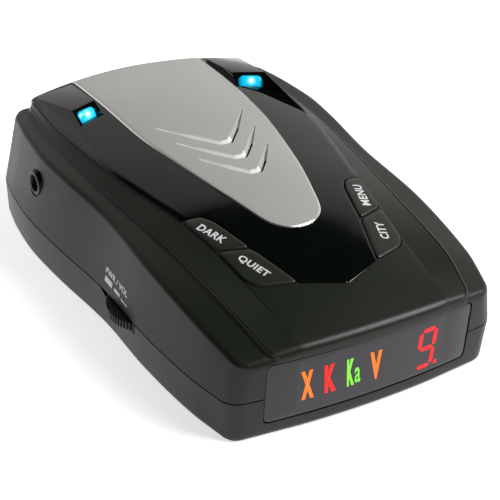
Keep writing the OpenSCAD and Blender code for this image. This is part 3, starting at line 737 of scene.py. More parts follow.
def grained(name, shade, rough, spread=0.18, patch=90.0, grain=2600.0, depth=0.012, vary=0.05, **sockets):
    """Procedural finish: broad colour drift, fine roughness and a fine bump.
    Constant socket values are passed as words joined by underscores. The suffix
    keeps a material's name apart from those of the frame's own materials."""
    name += "_look"
    mat = bpy.data.materials.get(name)
    if mat:
        return mat
    mat = bpy.data.materials.new(name)
    mat.use_nodes = True
    tree = mat.node_tree
    shader = tree.nodes["Principled BSDF"].inputs
    for key, value in sockets.items():
        shader[key.replace("_", " ")].default_value = value
    where = add_node(tree, "ShaderNodeTexCoord")["Object"]
    broad, fine = [add_node(tree, "ShaderNodeTexNoise",
                            {"Scale": scale, "Detail": detail, "Vector": where})["Fac"]
                   for scale, detail in ((patch, 3.0), (grain, 2.0))]
    tint = mixed(tree, stretched(tree, broad, 0.0, 1.0), scaled(shade, 1 - spread),
                 scaled(shade, 1 + spread))
    tree.links.new(tint, shader["Base Color"])
    sheen = stretched(tree, fine, max(0.01, rough - vary), min(1.0, rough + vary))
    tree.links.new(sheen, shader["Roughness"])
    if depth:
        bump = add_node(tree, "ShaderNodeBump", {"Strength": 0.35, "Distance": depth * MM, "Height": fine})
        tree.links.new(bump["Normal"], shader["Normal"])
    return mat


def lit(name, shade, strength):
    """A lit mark: nearly flat colour with a little unevenness, and its own light."""
    mat = grained(name, shade, 0.4, spread=0.12, patch=700.0, depth=0.0)
    shader = mat.node_tree.nodes["Principled BSDF"].inputs
    tint = next(n for n in mat.node_tree.nodes if n.type == "MIX")
    mat.node_tree.links.new(tint.outputs["Result"], shader["Emission Color"])
    shader["Emission Strength"].default_value = strength
    shader["Specular IOR Level"].default_value = 0.2
    return mat


def glowing(name, centre, shade, strength):
    """A lit lens: white in the middle, coloured towards its edge."""
    mat = bpy.data.materials.new(name)
    mat.use_nodes = True
    tree = mat.node_tree
    shader = tree.nodes["Principled BSDF"].inputs
    shader["Roughness"].default_value = 0.12
    where = add_node(tree, "ShaderNodeTexCoord")["Object"]
    reach = 3.4 * MM
    shift = add_node(tree, "ShaderNodeMapping", {"Location": [c * MM for c in centre],
                                                 "Scale": (reach, reach, reach), "Vector": where},
                     vector_type="TEXTURE")["Vector"]
    ball = add_node(tree, "ShaderNodeTexGradient", {"Vector": shift}, gradient_type="SPHERICAL")["Fac"]
    grain = add_node(tree, "ShaderNodeTexNoise", {"Scale": 1500.0, "Vector": where})["Fac"]
    blend = add_node(tree, "ShaderNodeMix", {"Factor": 0.08, "A": ball, "B": grain})["Result"]
    light = add_node(tree, "ShaderNodeValToRGB", {"Fac": blend})["Color"]
    fill_ramp(light.node.color_ramp, ((0.1, tuple(c * 0.45 for c in shade)), (0.36, shade),
                                      (0.64, (0.02, 0.47, 0.68)), (0.79, (0.2, 0.7, 0.86)),
                                      (0.9, (0.8, 1.0, 1.0))))
    tree.links.new(light, shader["Base Color"])
    tree.links.new(light, shader["Emission Color"])
    shader["Emission Strength"].default_value = strength
    return mat


def smoked_window(name, display):
    """Display lens: black border, and a purple-grey window with a fine dot screen."""
    mat = grained(name, (0.006, 0.0065, 0.006), 0.16, spread=0.1, depth=0.0, vary=0.03)
    tree = mat.node_tree
    border = next(n for n in tree.nodes if n.type == "MIX").outputs["Result"]
    where = next(n for n in tree.nodes if n.type == "TEX_COORD").outputs["Object"]
    x, _, z = add_node(tree, "ShaderNodeSeparateXYZ", {"Vector": where})

    def within(value, middle, reach):
        off = node_math(tree, "ABSOLUTE", node_math(tree, "SUBTRACT", value, middle * MM))
        return node_math(tree, "LESS_THAN", off, reach * MM)

    inside = node_math(tree, "MULTIPLY", within(x, -0.1, 17.2), within(z, 10.5, 5.75))
    dots = add_node(tree, "ShaderNodeTexVoronoi", {"Scale": 1900.0, "Randomness": 0.0, "Vector": where})
    screen = mixed(tree, dots["Distance"], scaled(display.window, 1.25), scaled(display.window, 0.75))
    both = mixed(tree, inside, border, screen)
    tree.links.new(both, tree.nodes["Principled BSDF"].inputs["Base Color"])
    return mat


def case_plastic(context):
    """Satin charcoal plastic of both shells and the socket."""
    case = context.scene.detector_case
    return grained("case_plastic", case.plastic, case.roughness, spread=0.1, patch=60.0, grain=3000.0,
                   depth=0.015, vary=0.04, Specular_IOR_Level=0.27)


def key_plastic(context):
    """The keys' plastic, a little lighter than the case."""
    case = context.scene.detector_case
    return grained("key_plastic", [c * 1.15 for c in case.plastic], 0.36, spread=0.08, depth=0.01)


def black_plastic():
    """Plain black plastic of the release button."""
    return grained("black_moulded", (0.0045, 0.0045, 0.0045), 0.42, spread=0.2, depth=0.015)


def white_ink(context):
    """Printed legends on the keys and the case."""
    return grained("white_ink", context.scene.detector_controls.legend, 0.5, spread=0.08, patch=900.0,
                   depth=0.004)


# ---------------------------------------------------------------- geometry node trees

class Tree:
    """A small geometry node tree with named inputs, built step by step."""

    def __init__(self, name, inputs):
        self.group = bpy.data.node_groups.new(name, "GeometryNodeTree")
        face = self.group.interface
        face.new_socket("Geometry", in_out="INPUT", socket_type="NodeSocketGeometry")
        for label, kind in inputs:
            face.new_socket(label, in_out="INPUT", socket_type=kind)
        face.new_socket("Geometry", in_out="OUTPUT", socket_type="NodeSocketGeometry")
        self.start = self.group.nodes.new("NodeGroupInput")
        self.end = self.group.nodes.new("NodeGroupOutput")

    def node(self, kind, links=None, **options):
        """Adds a node. links maps an input's name or number to an output or a value."""
        return add_node(self.group, kind, links, **options)

    def math(self, operation, a, b=0.0):
        """The result of one math node."""
        return node_math(self.group, operation, a, b)

    def finish(self, geometry, material):
        """Ends the tree in Realize Instances and Set Material."""
        real = self.node("GeometryNodeRealizeInstances", {"Geometry": geometry})[0]
        real = self.node("GeometryNodeSetMaterial", {"Geometry": real, "Material": material})[0]
        self.group.links.new(real, self.end.inputs[0])

    def grow(self, name, values, source=None):
        """Runs the tree on an object and leaves a plain mesh."""
        obj = source or linked(name, bpy.data.meshes.new(name))
        step = obj.modifiers.new("grow", "NODES")
        step.node_group = self.group
        for item in self.group.interface.items_tree:
            if item.in_out == "INPUT" and item.name in values:
                step[item.identifier] = values[item.name]
        return cleaned(settle(obj))


def knurled_disc_tree(material):
    """Thumbwheel rim: a disc whose edge rises and falls with each knurl."""
    tree = Tree("Knurled disc", [("Radius", "NodeSocketFloat"), ("Thickness", "NodeSocketFloat"),
                                 ("Knurls", "NodeSocketInt"), ("Depth", "NodeSocketFloat"),
                                 ("Centre", "NodeSocketVector")])
    given = tree.start.outputs
    points = tree.math("MULTIPLY", given["Knurls"], 8.0)
    disc = tree.node("GeometryNodeMeshCircle", {"Vertices": points, "Radius": given["Radius"]},
                     fill_type="NGON")[0]
    index = tree.node("GeometryNodeInputIndex")[0]
    step = tree.math("MODULO", index, 8.0)
    # Of a knurl's eight points, the last three are sunk
    sunk = tree.math("GREATER_THAN", step, 4.5)
    share = tree.math("DIVIDE", given["Depth"], given["Radius"])
    scale = tree.math("SUBTRACT", 1.0, tree.math("MULTIPLY", sunk, share))
    place = tree.node("GeometryNodeInputPosition")[0]
    moved = tree.node("ShaderNodeVectorMath", {0: place, "Scale": scale}, operation="SCALE")[0]
    disc = tree.node("GeometryNodeSetPosition", {"Geometry": disc, "Position": moved})[0]
    up = tree.node("ShaderNodeCombineXYZ", {"Z": 1.0})[0]
    raised = tree.node("GeometryNodeExtrudeMesh",
                       {"Mesh": disc, "Offset": up, "Offset Scale": given["Thickness"],
                                                   "Individual": False})[0]
    under = tree.node("GeometryNodeFlipFaces", {"Mesh": disc})[0]
    both = tree.node("GeometryNodeJoinGeometry")
    join = both[0].node
    tree.group.links.new(raised, join.inputs[0])
    tree.group.links.new(under, join.inputs[0])
    whole = tree.node("GeometryNodeMergeByDistance", {"Geometry": join.outputs[0], "Distance": 1e-6})[0]
    whole = tree.node("GeometryNodeTransform", {"Geometry": whole, "Translation": given["Centre"]})[0]
    tree.finish(whole, material)
    return tree


def scatter_tree(name, material):
    """Copies of one object, one on each point of a few given places."""
    tree = Tree(name, [("Piece", "NodeSocketObject"), ("Turn", "NodeSocketFloat")])
    given = tree.start.outputs
    piece = tree.node("GeometryNodeObjectInfo", {"Object": given["Piece"]}, transform_space="ORIGINAL")
    index = tree.node("GeometryNodeInputIndex")[0]
    turn = tree.node("ShaderNodeCombineXYZ", {"Z": tree.math("MULTIPLY", index, given["Turn"])})[0]
    copies = tree.node("GeometryNodeInstanceOnPoints",
                       {"Points": given["Geometry"], "Instance": piece["Geometry"],
                                                        "Rotation": turn})[0]
    tree.finish(copies, material)
    return tree


def scattered(name, places, piece, turn, material):
    """One mesh with a copy of piece at each place, made by the scatter tree."""
    holder = new_mesh(name, places, [], turn_out=False)
    tree = scatter_tree(name + "_tree", material)
    tree.grow(name, {"Piece": piece, "Turn": turn}, source=holder)
    bpy.data.objects.remove(piece)
    return holder


# ---------------------------------------------------------------- shared places

# Centres, and the socket's mouth, in millimetres: (x, y), (x, y, z), and (x, z) for LASER
CASE_SCREWS = ((-27.5, -40), (27.5, -40), (-29.5, 41), (29.5, 41))
LAMP = (21.2, 35.2)
JACK = (-37.0, 26.4, 18.4)
WHEEL = (-28.5, -13.0, 7.2)
LASER = (22.4, 17.1)
RELEASE = (0, 17)
SPEAKER = (8, -16)
SLOT_W, SLOT_H, SLOT_Z = 16.6, 4.6, 3.2
# How much of y goes into the bright wall's height and into the floor's shading
SLANT = -0.35


def key_ring(points, side, grow=0.0):
    """Outline of one key, on the side asked for."""
    outline = grown(ring(points, 1.25, 5), grow) if grow else ring(points, 1.25, 5)
    return [(x * side, y) for x, y in outline]


def lens_cut(form, display, grow):
    """Prism through the driver's face for the lens."""
    w, h = display.lens_w / MM + 2 * grow, display.lens_h / MM + 2 * grow
    place = Matrix.Translation((0, -form.half_l - 3, LENS_MID)) @ Matrix.Rotation(-math.pi / 2, 4, "X")
    return prism("lens_cut", box_ring(w, h, 1.5), 0, 5.5, place)


def hood_points(form):
    """Corners of the right hood: far inside, near inside, near outside, far
    outside, foot of the face inside and outside, and the tip."""
    top = (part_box("gloss_panel")[1].z / MM)
    far = form.panel_far
    tip_x = form.run(EDGE_RUN, 13.8) - 0.6
    return [(18, 48, form.crown(18, 48) + 0.7),
            (18, 35.5, top - 0.2),
            (25.1, 32.2, top),
            (form.run(EDGE_RUN, far) - 0.9, form.bowed(27, far) - 0.3, form.crown(27, far) + 0.45),
            (17.6, 32.7, form.crown(17.6, 32.7) + 0.1),
            (24.4, 29, form.crown(24.4, 29) + 0.1),
            (tip_x, 13.8, form.crown(tip_x, 13.8) + 0.1)]


def lens_place(form, side):
    """Where a periscope lens sits: its own plane in the hood's face."""
    _, b, c, _, e, g, _ = (Vector(p) for p in hood_points(form))
    place = (Matrix.Translation((b + c + e + g) / 4) @ Matrix.Rotation(math.radians(-24), 4, "Z")
             @ Matrix.Rotation(math.radians(57), 4, "X") @ Matrix.Translation((0, -0.4, 0)))
    return Matrix.Diagonal((side, 1, 1, 1)) @ place


def arch(w, h):
    """Outline of a periscope lens: flat below, rounded above."""
    return rounded([(-w / 2, -h / 2), (-w / 2, h / 2), (w / 2, h / 2), (w / 2, -h / 2)],
                   (h * 0.55, h * 0.55), 7)


# ---------------------------------------------------------------- operators

class Maker(bpy.types.Operator):
    """Base of the piece operators."""
    bl_idname = "detector.maker"
    bl_label = "Make a piece"
    bl_options = {"REGISTER", "UNDO"}

    def execute(self, context):
        self.make(context, Form(context.scene.detector_case))
        return {"FINISHED"}


class DETECTOR_OT_upper_case(Maker):
    """Upper case shell with its openings."""
    bl_idname = "detector.upper_case"
    bl_label = "Upper case"

    def make(self, context, form):
        trim, controls = context.scene.detector_trim, context.scene.detector_controls
        shell = upper_form(form, "case_upper", inset=0, roof=0, middle=84, fine=True)
        hollow = nudged(upper_form(form, "hollow", form.wall, roof=3.1, middle=10, fine=False), -0.01)
        rows = spread([y for y, _ in PANEL_FRONT] + [form.panel_far + 0.15], 1.6)
        pocket = crown_slab("pocket", form, rows, lambda y: form.panel_reach(y) + 0.14, 6,
                            (trim.panel_lift - trim.panel_thick) / MM - 0.08, 0, 8)
        tools = [hollow, pocket, seam_tool(form, -1, 0.14)]
        gap = controls.key_gap / MM
        for side in SIDES:
            tools += [prism("key_cut", key_ring(keys, side, gap), 15, 45) for keys in (FAR_KEY, NEAR_KEY)]
        tools.append(lens_cut(form, context.scene.detector_display, 0.15))
        tools.append(rod("jack_cut", 0, 0, 0, 8, 3.0, 48,
                         Matrix.Translation((-form.half_w - 2, JACK[1], JACK[2]))
                         @ Matrix.Rotation(math.pi / 2, 4, "Y")))
        tools.append(prism("laser_cut", box_ring(8, 7.6, 1), 0, 8,
                           Matrix.Translation((LASER[0], form.half_l + 2, LASER[1]))
                           @ Matrix.Rotation(math.pi / 2, 4, "X")))
        carve(shell, *tools)
        finished(smooth(shell), case_plastic(context), "case", ["top_case"])


class DETECTOR_OT_lower_case(Maker):
    """Lower case shell with its slots and openings."""
    bl_idname = "detector.lower_case"
    bl_label = "Lower case"

    def make(self, context, form):
        shell = lower_form(form, "case_lower", inset=0, middle=84, fine=True)
        hollow = nudged(lower_form(form, "hollow", form.wall, middle=10, fine=False), 0.01)
        carve(shell, hollow)
        ledge = SLOT_Z + SLOT_H + 0.8
        far = form.half_l
        channel = block("channel", (-SLOT_W / 2 - 1.2, far - 27.2, form.wall - 0.5),
                        (SLOT_W / 2 + 1.2, far - 2.2, ledge))
        carve(shell, channel, how="UNION")
        tools = [seam_tool(form, -0.14, 1),
                 block("slot", (-SLOT_W / 2, far - 26, SLOT_Z), (SLOT_W / 2, far + 9, SLOT_Z + SLOT_H)),
                 block("catch", (-3, far - 25, SLOT_Z + 2), (3, far - 21, ledge + 2)),
                 prism("release_cut", box_ring(14.4, 10.4, 1.2, RELEASE), -1, 5),
                 block("label_cut", (-16.2, -44.2, -1), (16.2, -35.8, 0.3)),
                 lens_cut(form, context.scene.detector_display, 0.15),
                 rod("wheel_cut", WHEEL[0], WHEEL[1], WHEEL[2] - 0.3, 18, 9.35)]
        for x, y in CASE_SCREWS:
            tools += [rod("screw_cut", x, y, -1, 6, 2.3)]
        for i in range(-4, 5):
            half = math.sqrt(144 - (2.7 * i) ** 2)
            tools.append(prism("sound_cut",
                               box_ring(2 * half, 1.5, 0.74, (SPEAKER[0], SPEAKER[1] + 2.7 * i)), -1, 3))
        # The thumbwheel's slot, with one slanted end
        slot = [(-19, WHEEL[2] - 0.3), (-8.2, WHEEL[2] - 0.3), (-2.5, form.split + 1),
                (-18, form.split + 1)]
        turned = Matrix(((0, 0, 1, 0), (1, 0, 0, 0), (0, 1, 0, 0), (0, 0, 0, 1)))
        tools.append(prism("thumb_cut", slot, -form.half_w - 3, -form.half_w + 6, turned))
        carve(shell, *tools)
        finished(smooth(shell), case_plastic(context), "case", ["bottom_case"])


class DETECTOR_OT_gloss_panel(Maker):
    """Gloss top panel with its two hoods."""
    bl_idname = "detector.gloss_panel"
    bl_label = "Gloss panel"

    def make(self, context, form):
        trim = context.scene.detector_trim
        lift = trim.panel_lift / MM
        rows = spread([-42, -41.9, -41.7] + [y for y, _ in PANEL_FRONT[1:]]
                      + [form.panel_far - 0.3, form.panel_far],
                      0.9)
        panel = crown_slab("panel_gloss", form, rows, form.panel_reach, lift, lift - trim.panel_thick / MM,
                           0.28, 18)
        faces = [(0, 2, 1), (0, 3, 2), (1, 2, 5), (1, 5, 4), (2, 6, 5), (2, 3, 6), (0, 1, 4), (0, 4, 8),
                 (0, 8, 7),
                 (4, 5, 9), (4, 9, 8), (5, 6, 10), (5, 10, 9), (6, 3, 11), (6, 11, 10), (3, 0, 7),
                 (3, 7, 11),
                 (7, 8, 9), (7, 9, 10), (7, 10, 11)]
        top = hood_points(form)
        foot = [(top[i][0], top[i][1], form.crown(top[i][0], top[i][1]) - 0.8) for i in (0, 4, 5, 6, 3)]
        for side in SIDES:
            hood = new_mesh("hood", [(x * side, y, z) for x, y, z in top + foot], faces)
            soften(hood, 0.16, 2, 12)
            carve(panel, hood, how="UNION")
            cut = prism("lens_hole", arch(5.85, 2.9), -3.2, 3, lens_place(form, side))
            pipe = rod("pipe_hole", LAMP[0] * side, LAMP[1], 20, 28.6, 1.45)
            carve(panel, cut, pipe)
        rows = spread([y for y, _ in INLAY_RUN[:7]] + [form.panel_far + 0.4], 1.2)
        carve(panel, crown_slab("inlay_bed", form, rows, lambda y: lookup(INLAY_RUN, y) + 0.12, 6, -0.68, 0,
                                10))
        material = grained("gloss_black", trim.gloss, 0.045, spread=0.1, patch=120.0, grain=900.0,
                           depth=0.0,
                           vary=0.015, Specular_IOR_Level=0.38)
        finished(smooth(panel, 24), material, "case", ["gloss_panel"])


class DETECTOR_OT_inlay(Maker):
    """Metallic inlay with three chevron grooves, and strips in and round it that carry painted highlights.
    """
    bl_idname = "detector.inlay"
    bl_label = "Metallic inlay"

    def make(self, context, form):
        trim = context.scene.detector_trim
        lift = trim.inlay_lift / MM
        rows = spread([-24.8, -24.7, *TIP_ROWS, form.panel_far - 0.35, form.panel_far], 1.0)
        plate = crown_slab("inlay_silver", form, rows, lambda y: curve(INLAY_RUN, y), lift, -0.55,
                           trim.inlay_edge / MM, 20)
        tools = []
        for tip, reach in CHEVRONS:
            tools.append(self.groove(form, tip, reach, lift))
            tools.append(self.slit(tip, reach))
        carve(plate, *tools)
        material = grained("silver_paint", trim.silver, 0.45, spread=0.04, patch=40.0, grain=4200.0,
                           depth=0.01,
                           vary=0.05, Metallic=0.35)
        finished(smooth(plate, 28), material, "case", ["silver_plate"])
        # Painted highlight: strips over the chevrons' slopes, in a lighter copy of the inlay's silver
        bright = grained("bright_edge", [min(1, c * 1.9) for c in trim.silver], 0.3, spread=0.03,
                         grain=4200.0,
                         depth=0.0, vary=0.04, Metallic=0.1)
        slopes = [self.lining(form, tip, reach, lift) for tip, reach in CHEVRONS]
        finished(joined("inlay_chevrons", slopes), bright, "case")
        # Painted highlight: the rim strip is a near-white, polished copy of the silver, lighter than the
        # inlay's own edge
        rim_highlight_paint = grained("polished_rim", (0.95, 0.95, 0.93), 0.2, spread=0.02, grain=4200.0, depth=0.0,
                           vary=0.03,
                           Metallic=0.95)
        finished(smooth(self.rim(form, lift)), rim_highlight_paint, "case")

    @staticmethod
    def strip(name, sections):
        """Closed strip through sections of four points each."""
        faces = [(4 * i + j, 4 * i + (j + 1) % 4, 4 * i + 4 + (j + 1) % 4, 4 * i + 4 + j)
                 for i in range(len(sections) - 1) for j in range(4)]
        last = 4 * len(sections)
        faces += [(3, 2, 1, 0), (last - 4, last - 3, last - 2, last - 1)]
        return new_mesh(name, [p for section in sections for p in section], faces)

    def rim(self, form, lift):
        """Bevel strip round the inlay in near-white polished metal: partly a real polished edge, partly a
        painted highlight.
        """
        rows = spread([-24.8, -24.75, *TIP_ROWS, form.panel_far - 0.4], 1.0)
        right = [(curve(INLAY_RUN, y), y) for y in rows]
        path = [(-x, y) for x, y in right[::-1]] + right
        sections = []
        for i, (x, y) in enumerate(path):
            a, b = path[max(i - 1, 0)], path[min(i + 1, len(path) - 1)]
            d = Vector((b[0] - a[0], b[1] - a[1])).normalized()
            sections.append([(x + d.y * u, y - d.x * u, form.crown(x, y) + w)
                             for u, w in ((-0.2, lift - 0.015), (0.07, lift - 0.2), (0.07, -0.3),
                                          (-0.2, -0.3))])
        return self.strip("inlay_rim", sections)

    def lining(self, form, tip, reach, lift):
        """Strip over a chevron's slope, from its left end round the tip, that carries a painted highlight.
        """
        sections = []
        for t in range(-30, 7):
            x, _, far, foot, deep = self.section(tip, reach, t / 30)
            top, low = form.crown(x, far) + lift, form.crown(x, foot) + lift - deep
            back = far + 0.06
            sections.append([(x, back, top + 0.03), (x, foot, low + 0.2), (x, foot, low - 0.02),
                             (x, back, top - 0.12)])
        return self.strip("lining", sections)

    @staticmethod
    def edges(tip, reach, at):
        """Near and far edge of a chevron at a share of its reach, with the near
        edge drawing in to the far one over the outer part of each wing."""
        x = reach * at
        near = tip + 1.11 * max(0.0, abs(x) - 1.5)
        far = tip + CHEVRON_WIDE + 1.11 * max(0.0, abs(x) - 0.85)
        taper = 0.72 * max(0.0, (abs(at) - 0.5) / 0.5)
        return x, near + (far - near) * taper, far

    def section(self, tip, reach, at):
        """Place, near edge, far edge, foot of the slope and depth of a groove."""
        x, near, far = self.edges(tip, reach, at)
        deep = CHEVRON_DEEP * min(1.0, (far - near) / CHEVRON_WIDE)
        return x, near, far, near + (far - near) * CHEVRON_FOOT, deep

    def groove(self, form, tip, reach, lift):
        """Groove whose far side slopes down to a steep near side."""
        points, faces = [], []
        stops = [t / 30 for t in range(-30, 31)]
        for t in stops:
            x, near, far, foot, deep = self.section(tip, reach, t)
            for y, w in ((far, 0.03), (foot, -deep), (near, -deep), (near, 1.0), (far, 1.0)):
                points.append((x, y, form.crown(x, y) + lift + w))
        n = 5
        for i in range(len(stops) - 1):
            faces += [(i * n + j, i * n + (j + 1) % n, (i + 1) * n + (j + 1) % n, (i + 1) * n + j)
                      for j in range(n)]
        faces += [tuple(range(n)), tuple(range(len(points) - 1, len(points) - n - 1, -1))]
        return new_mesh("groove", points, faces)

    def slit(self, tip, reach):
        """Narrow through cut along the near side of a chevron."""
        near, far = [], []
        for k in range(-16, 17):
            x, low, high = self.edges(tip, reach, 0.58 * k / 16)
            near.append((x, low + 0.02))
            far.append((x, low + (CHEVRON_FOOT if abs(k) < 16 else 0.06) * (high - low)))
        return prism("slit", near + far[::-1], 20, 40)


class DETECTOR_OT_periscopes(Maker):
    """Lit lenses in the hoods, with their light pipes."""
    bl_idname = "detector.periscopes"
    bl_label = "Periscope lenses"

    def make(self, context, form):
        glow = context.scene.detector_trim.glow
        for side, name in zip(SIDES, ("left", "right")):
            place = lens_place(form, side)
            outline = grown(ring_of(arch(5.5, 2.65)), -0.02)
            lens = pebble("periscope_lens_" + name, outline, lambda x,
                          y: -0.12 - 0.02 * x * x - 0.05 * y * y,
                          lambda x, y: -2.6, 0.3, 6, lambda x, y, z: place @ Vector((x, y, z)))
            pipe = rod("pipe", LAMP[0] * side, LAMP[1], 16.3, 28.0, 1.3, 32)
            carve(lens, pipe, how="UNION")
            centre = place @ Vector((0.2 * side, 0.1, -0.1))
            material = glowing("alert_light_" + name, centre, glow, 0.8)
            finished(smooth(lens, 40), material, "case", ["periscope_" + name])


class DETECTOR_OT_keys(Maker):
    """Four keys and their printed legends."""
    bl_idname = "detector.keys"
    bl_label = "Keys"

    def make(self, context, form):
        controls = context.scene.detector_controls
        lift = controls.key_lift / MM
        for word, points, side, middle, long, lean in (("dark", FAR_KEY, -1, (-18.2, -19.4), 6.7, 21.5),
                                                       ("quiet", NEAR_KEY, -1, (-15.3, -31.05), 7.3, 22),
                                                       ("menu", FAR_KEY, 1, (18, -19.6), 7.3, 16),
                                                       ("city", NEAR_KEY, 1, (15.4, -31), 5.2, 17)):
            key = pebble("key_" + word, dense(key_ring(points, side), 1.6), lambda x,
                         y: form.crown(x, y) + lift,
                         lambda x, y: form.crown(x, y) - 3.2, 0.3, 6)
            finished(smooth(key, 40), key_plastic(context), word + "_key", [word + "_button"])
            # Both rows read with their letters' tops towards the panel
            along = Vector((math.sin(math.radians(lean)), math.cos(math.radians(lean)) * side))
            up = Vector((-along.y, along.x))

            def place(x, y, z, middle=middle, along=along, up=up):
                px, py = middle[0] + along.x * x + up.x * y, middle[1] + along.y * x + up.y * y
                return px, py, form.crown(px, py) + lift + 0.012 + z
            legend = lettering("legend_" + word, word.upper(), 1.95, long, 0.03, place, 1.1)
            finished(legend, white_ink(context), word + "_key")


class DETECTOR_OT_display(Maker):
    """Display lens with its lit band marks and digit."""
    bl_idname = "detector.display"
    bl_label = "Display"

    def make(self, context, form):
        display = context.scene.detector_display
        w, h = display.lens_w / MM, display.lens_h / MM
        lens = pebble("display_lens_face", dense(box_ring(w, h, 1.5, (0, LENS_MID), 6), 1.5), lambda x,
                      z: 0.0,
                      lambda x, z: -1.9, 0.2, 8, lambda x, z, d: (x, form.face(x, 0.14) - d, z))
        finished(smooth(lens, 40), smoked_window("smoked_window", display), "case",
                 ["display_lens"])

        def on_lens(mid_x, mid_z, lean=0.0):
            return lambda x, y, z: (mid_x + x + lean * y, form.face(mid_x + x + lean * y, 0.12) - z,
                                    mid_z + y)

        marks = (("x", "X", (-16.5, -13.8), (6.8, 13.7), 0.06, display.amber),
                 ("k", "K", (-11.4, -8.9), (6.9, 13.7), 0.06, display.red),
                 ("ka", "K", (-6.4, -4.75), (6.9, 13.6), 0.06, display.green),
                 ("ka_small", "a", (-4.5, -3.2), (7.2, 11), 0.014, display.green),
                 ("v", "V", (-1, 1.8), (6.5, 13.5), 0.06, display.amber))
        for key, text, (x0, x1), (z0, z1), heavy, shade in marks:
            mark = lettering("band_mark_" + key, text, z1 - z0, x1 - x0, heavy,
                             on_lens((x0 + x1) / 2, (z0 + z1) / 2, -0.1), 1.0)
            finished(mark, lit("lit_" + key.split("_")[0], shade, 0.6), "case")
        digit = joined("band_digit", self.digit(on_lens(12.9, 9.7)))
        finished(digit, lit("lit_digit", display.digit, 0.6), "case")

    @staticmethod
    def digit(place):
        """A nine with its point, from seven-segment bars."""
        w, h, t = 3.7, 8.9, 1.0
        lean = 0.05

        def bar(x0, y0, x1, y1):
            a, b = Vector((x0, y0)), Vector((x1, y1))
            d = (b - a).normalized()
            n = Vector((-d.y, d.x)) * t / 2
            a, b = a + d * 0.22, b - d * 0.22
            ring6 = [a, a + n + d * t / 2, b + n - d * t / 2, b, b - n - d * t / 2, a - n + d * t / 2]
            pts = [(p.x + lean * p.y, p.y) for p in ring6]
            return printed_bar(pts, place)

        l, r, u, d = -w / 2, w / 2, h / 2, -h / 2
        bars = [bar(l, u, r, u), bar(r, u, r, 0), bar(l, u, l, 0), bar(l, 0, r, 0), bar(r, 0, r, d),
                bar(l, d, r, d)]
        bars.append(printed_bar([(r + 1.1 + 0.5 * math.cos(a), d + 0.1 + 0.55 * math.sin(a))
                                 for a in (k * math.pi / 8 for k in range(16))], place))
        return bars


class DETECTOR_OT_thumbwheel(Maker):
    """Knurled volume wheel, with its printed legend."""
    bl_idname = "detector.thumbwheel"
    bl_label = "Thumbwheel"

    def make(self, context, form):
        controls = context.scene.detector_controls
        material = grained("wheel_black", (0.005, 0.005, 0.005), 0.4, spread=0.2, depth=0.01)
        tree = knurled_disc_tree(material)
        wheel = tree.grow("thumbwheel", {"Radius": controls.wheel_radius, "Thickness": controls.wheel_thick,
                                         "Knurls": controls.knurls, "Depth": 0.45 * MM,
                                         "Centre": tuple(c * MM for c in WHEEL)})
        soften(wheel, 0.07, 1, 50)
        hub = lathe("hub", [(0, 0.1), (3, 0.1), (3, 2.2), (2.8, 2.4), (1.5, 2.4), (1.5, 5.2), (0, 5.2)],
                    Matrix.Translation(WHEEL), 40)
        carve(wheel, hub, how="UNION")
        finished(smooth(wheel, 30), material, "volume_wheel", ["volume_wheel"])
        self.legend(context, form)

    @staticmethod
    def legend(context, form):
        """Printed words over the wheel, and bars that grow with the volume."""
        def on_wall(mid_y, mid_z):
            def place(x, y, z):
                py, pz = mid_y - x, mid_z + y - 0.055 * x
                return -(form.wall_at(py, pz) + 0.012 + z), py, pz
            return place
        parts = [lettering("legend_volume", "PWR / VOL", 1.35, 9.8, 0.028, on_wall(-10.2, 13.8))]
        for mid, long, high, tall in ((-7.08, 3.15, 12.06, 1.23), (-10.9, 2.5, 11.72, 0.75),
                                      (-14.25, 2.7, 11.3, 0.3)):
            outline = [(-long / 2, -tall / 2), (long / 2, -tall / 2), (long / 2, tall / 2),
                       (-long / 2, tall / 2)]
            parts.append(printed_bar(outline, on_wall(mid, high)))
        finished(joined("legend_volume_bars", parts), white_ink(context), "case")


class DETECTOR_OT_socket(Maker):
    """Power socket with a rounded nose and a sprung contact."""
    bl_idname = "detector.socket"
    bl_label = "Power socket"

    def make(self, context, form):
        place = Matrix.Translation(JACK) @ Matrix.Rotation(math.pi / 2, 4, "Y")
        nose = [(1.8, 0.35), (1.95, 0.1), (2.15, 0.0), (2.5, 0.0), (2.8, 0.12), (2.9, 0.4), (2.9, 6.0),
                (2.9, 11.9),
                (0.0, 11.9), (0.0, 10.8), (1.8, 10.8)]
        barrel = lathe("power_socket", nose, place)
        back = block("back", (JACK[0] + 3.6, JACK[1] - 3.7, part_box("power_jack")[0].z / MM),
                     (JACK[0] + 13, JACK[1] + 3.7, JACK[2] + 3.2), 0.3)
        bore = rod("bore", 0, 0, -1, 10.8, 1.8, 56, place)
        carve(barrel, back, how="UNION")
        carve(barrel, bore)
        finished(smooth(barrel), case_plastic(context), "case", ["power_jack"])
        sleeve = lathe("socket_contact", [(1.5, 3.6), (1.79, 3.6), (1.79, 8.6), (1.5, 8.6), (1.35, 6.0)],
                       place)
        metal = grained("contact_metal", (0.62, 0.58, 0.5), 0.3, depth=0.004, Metallic=1.0)
        finished(smooth(sleeve), metal, "case")


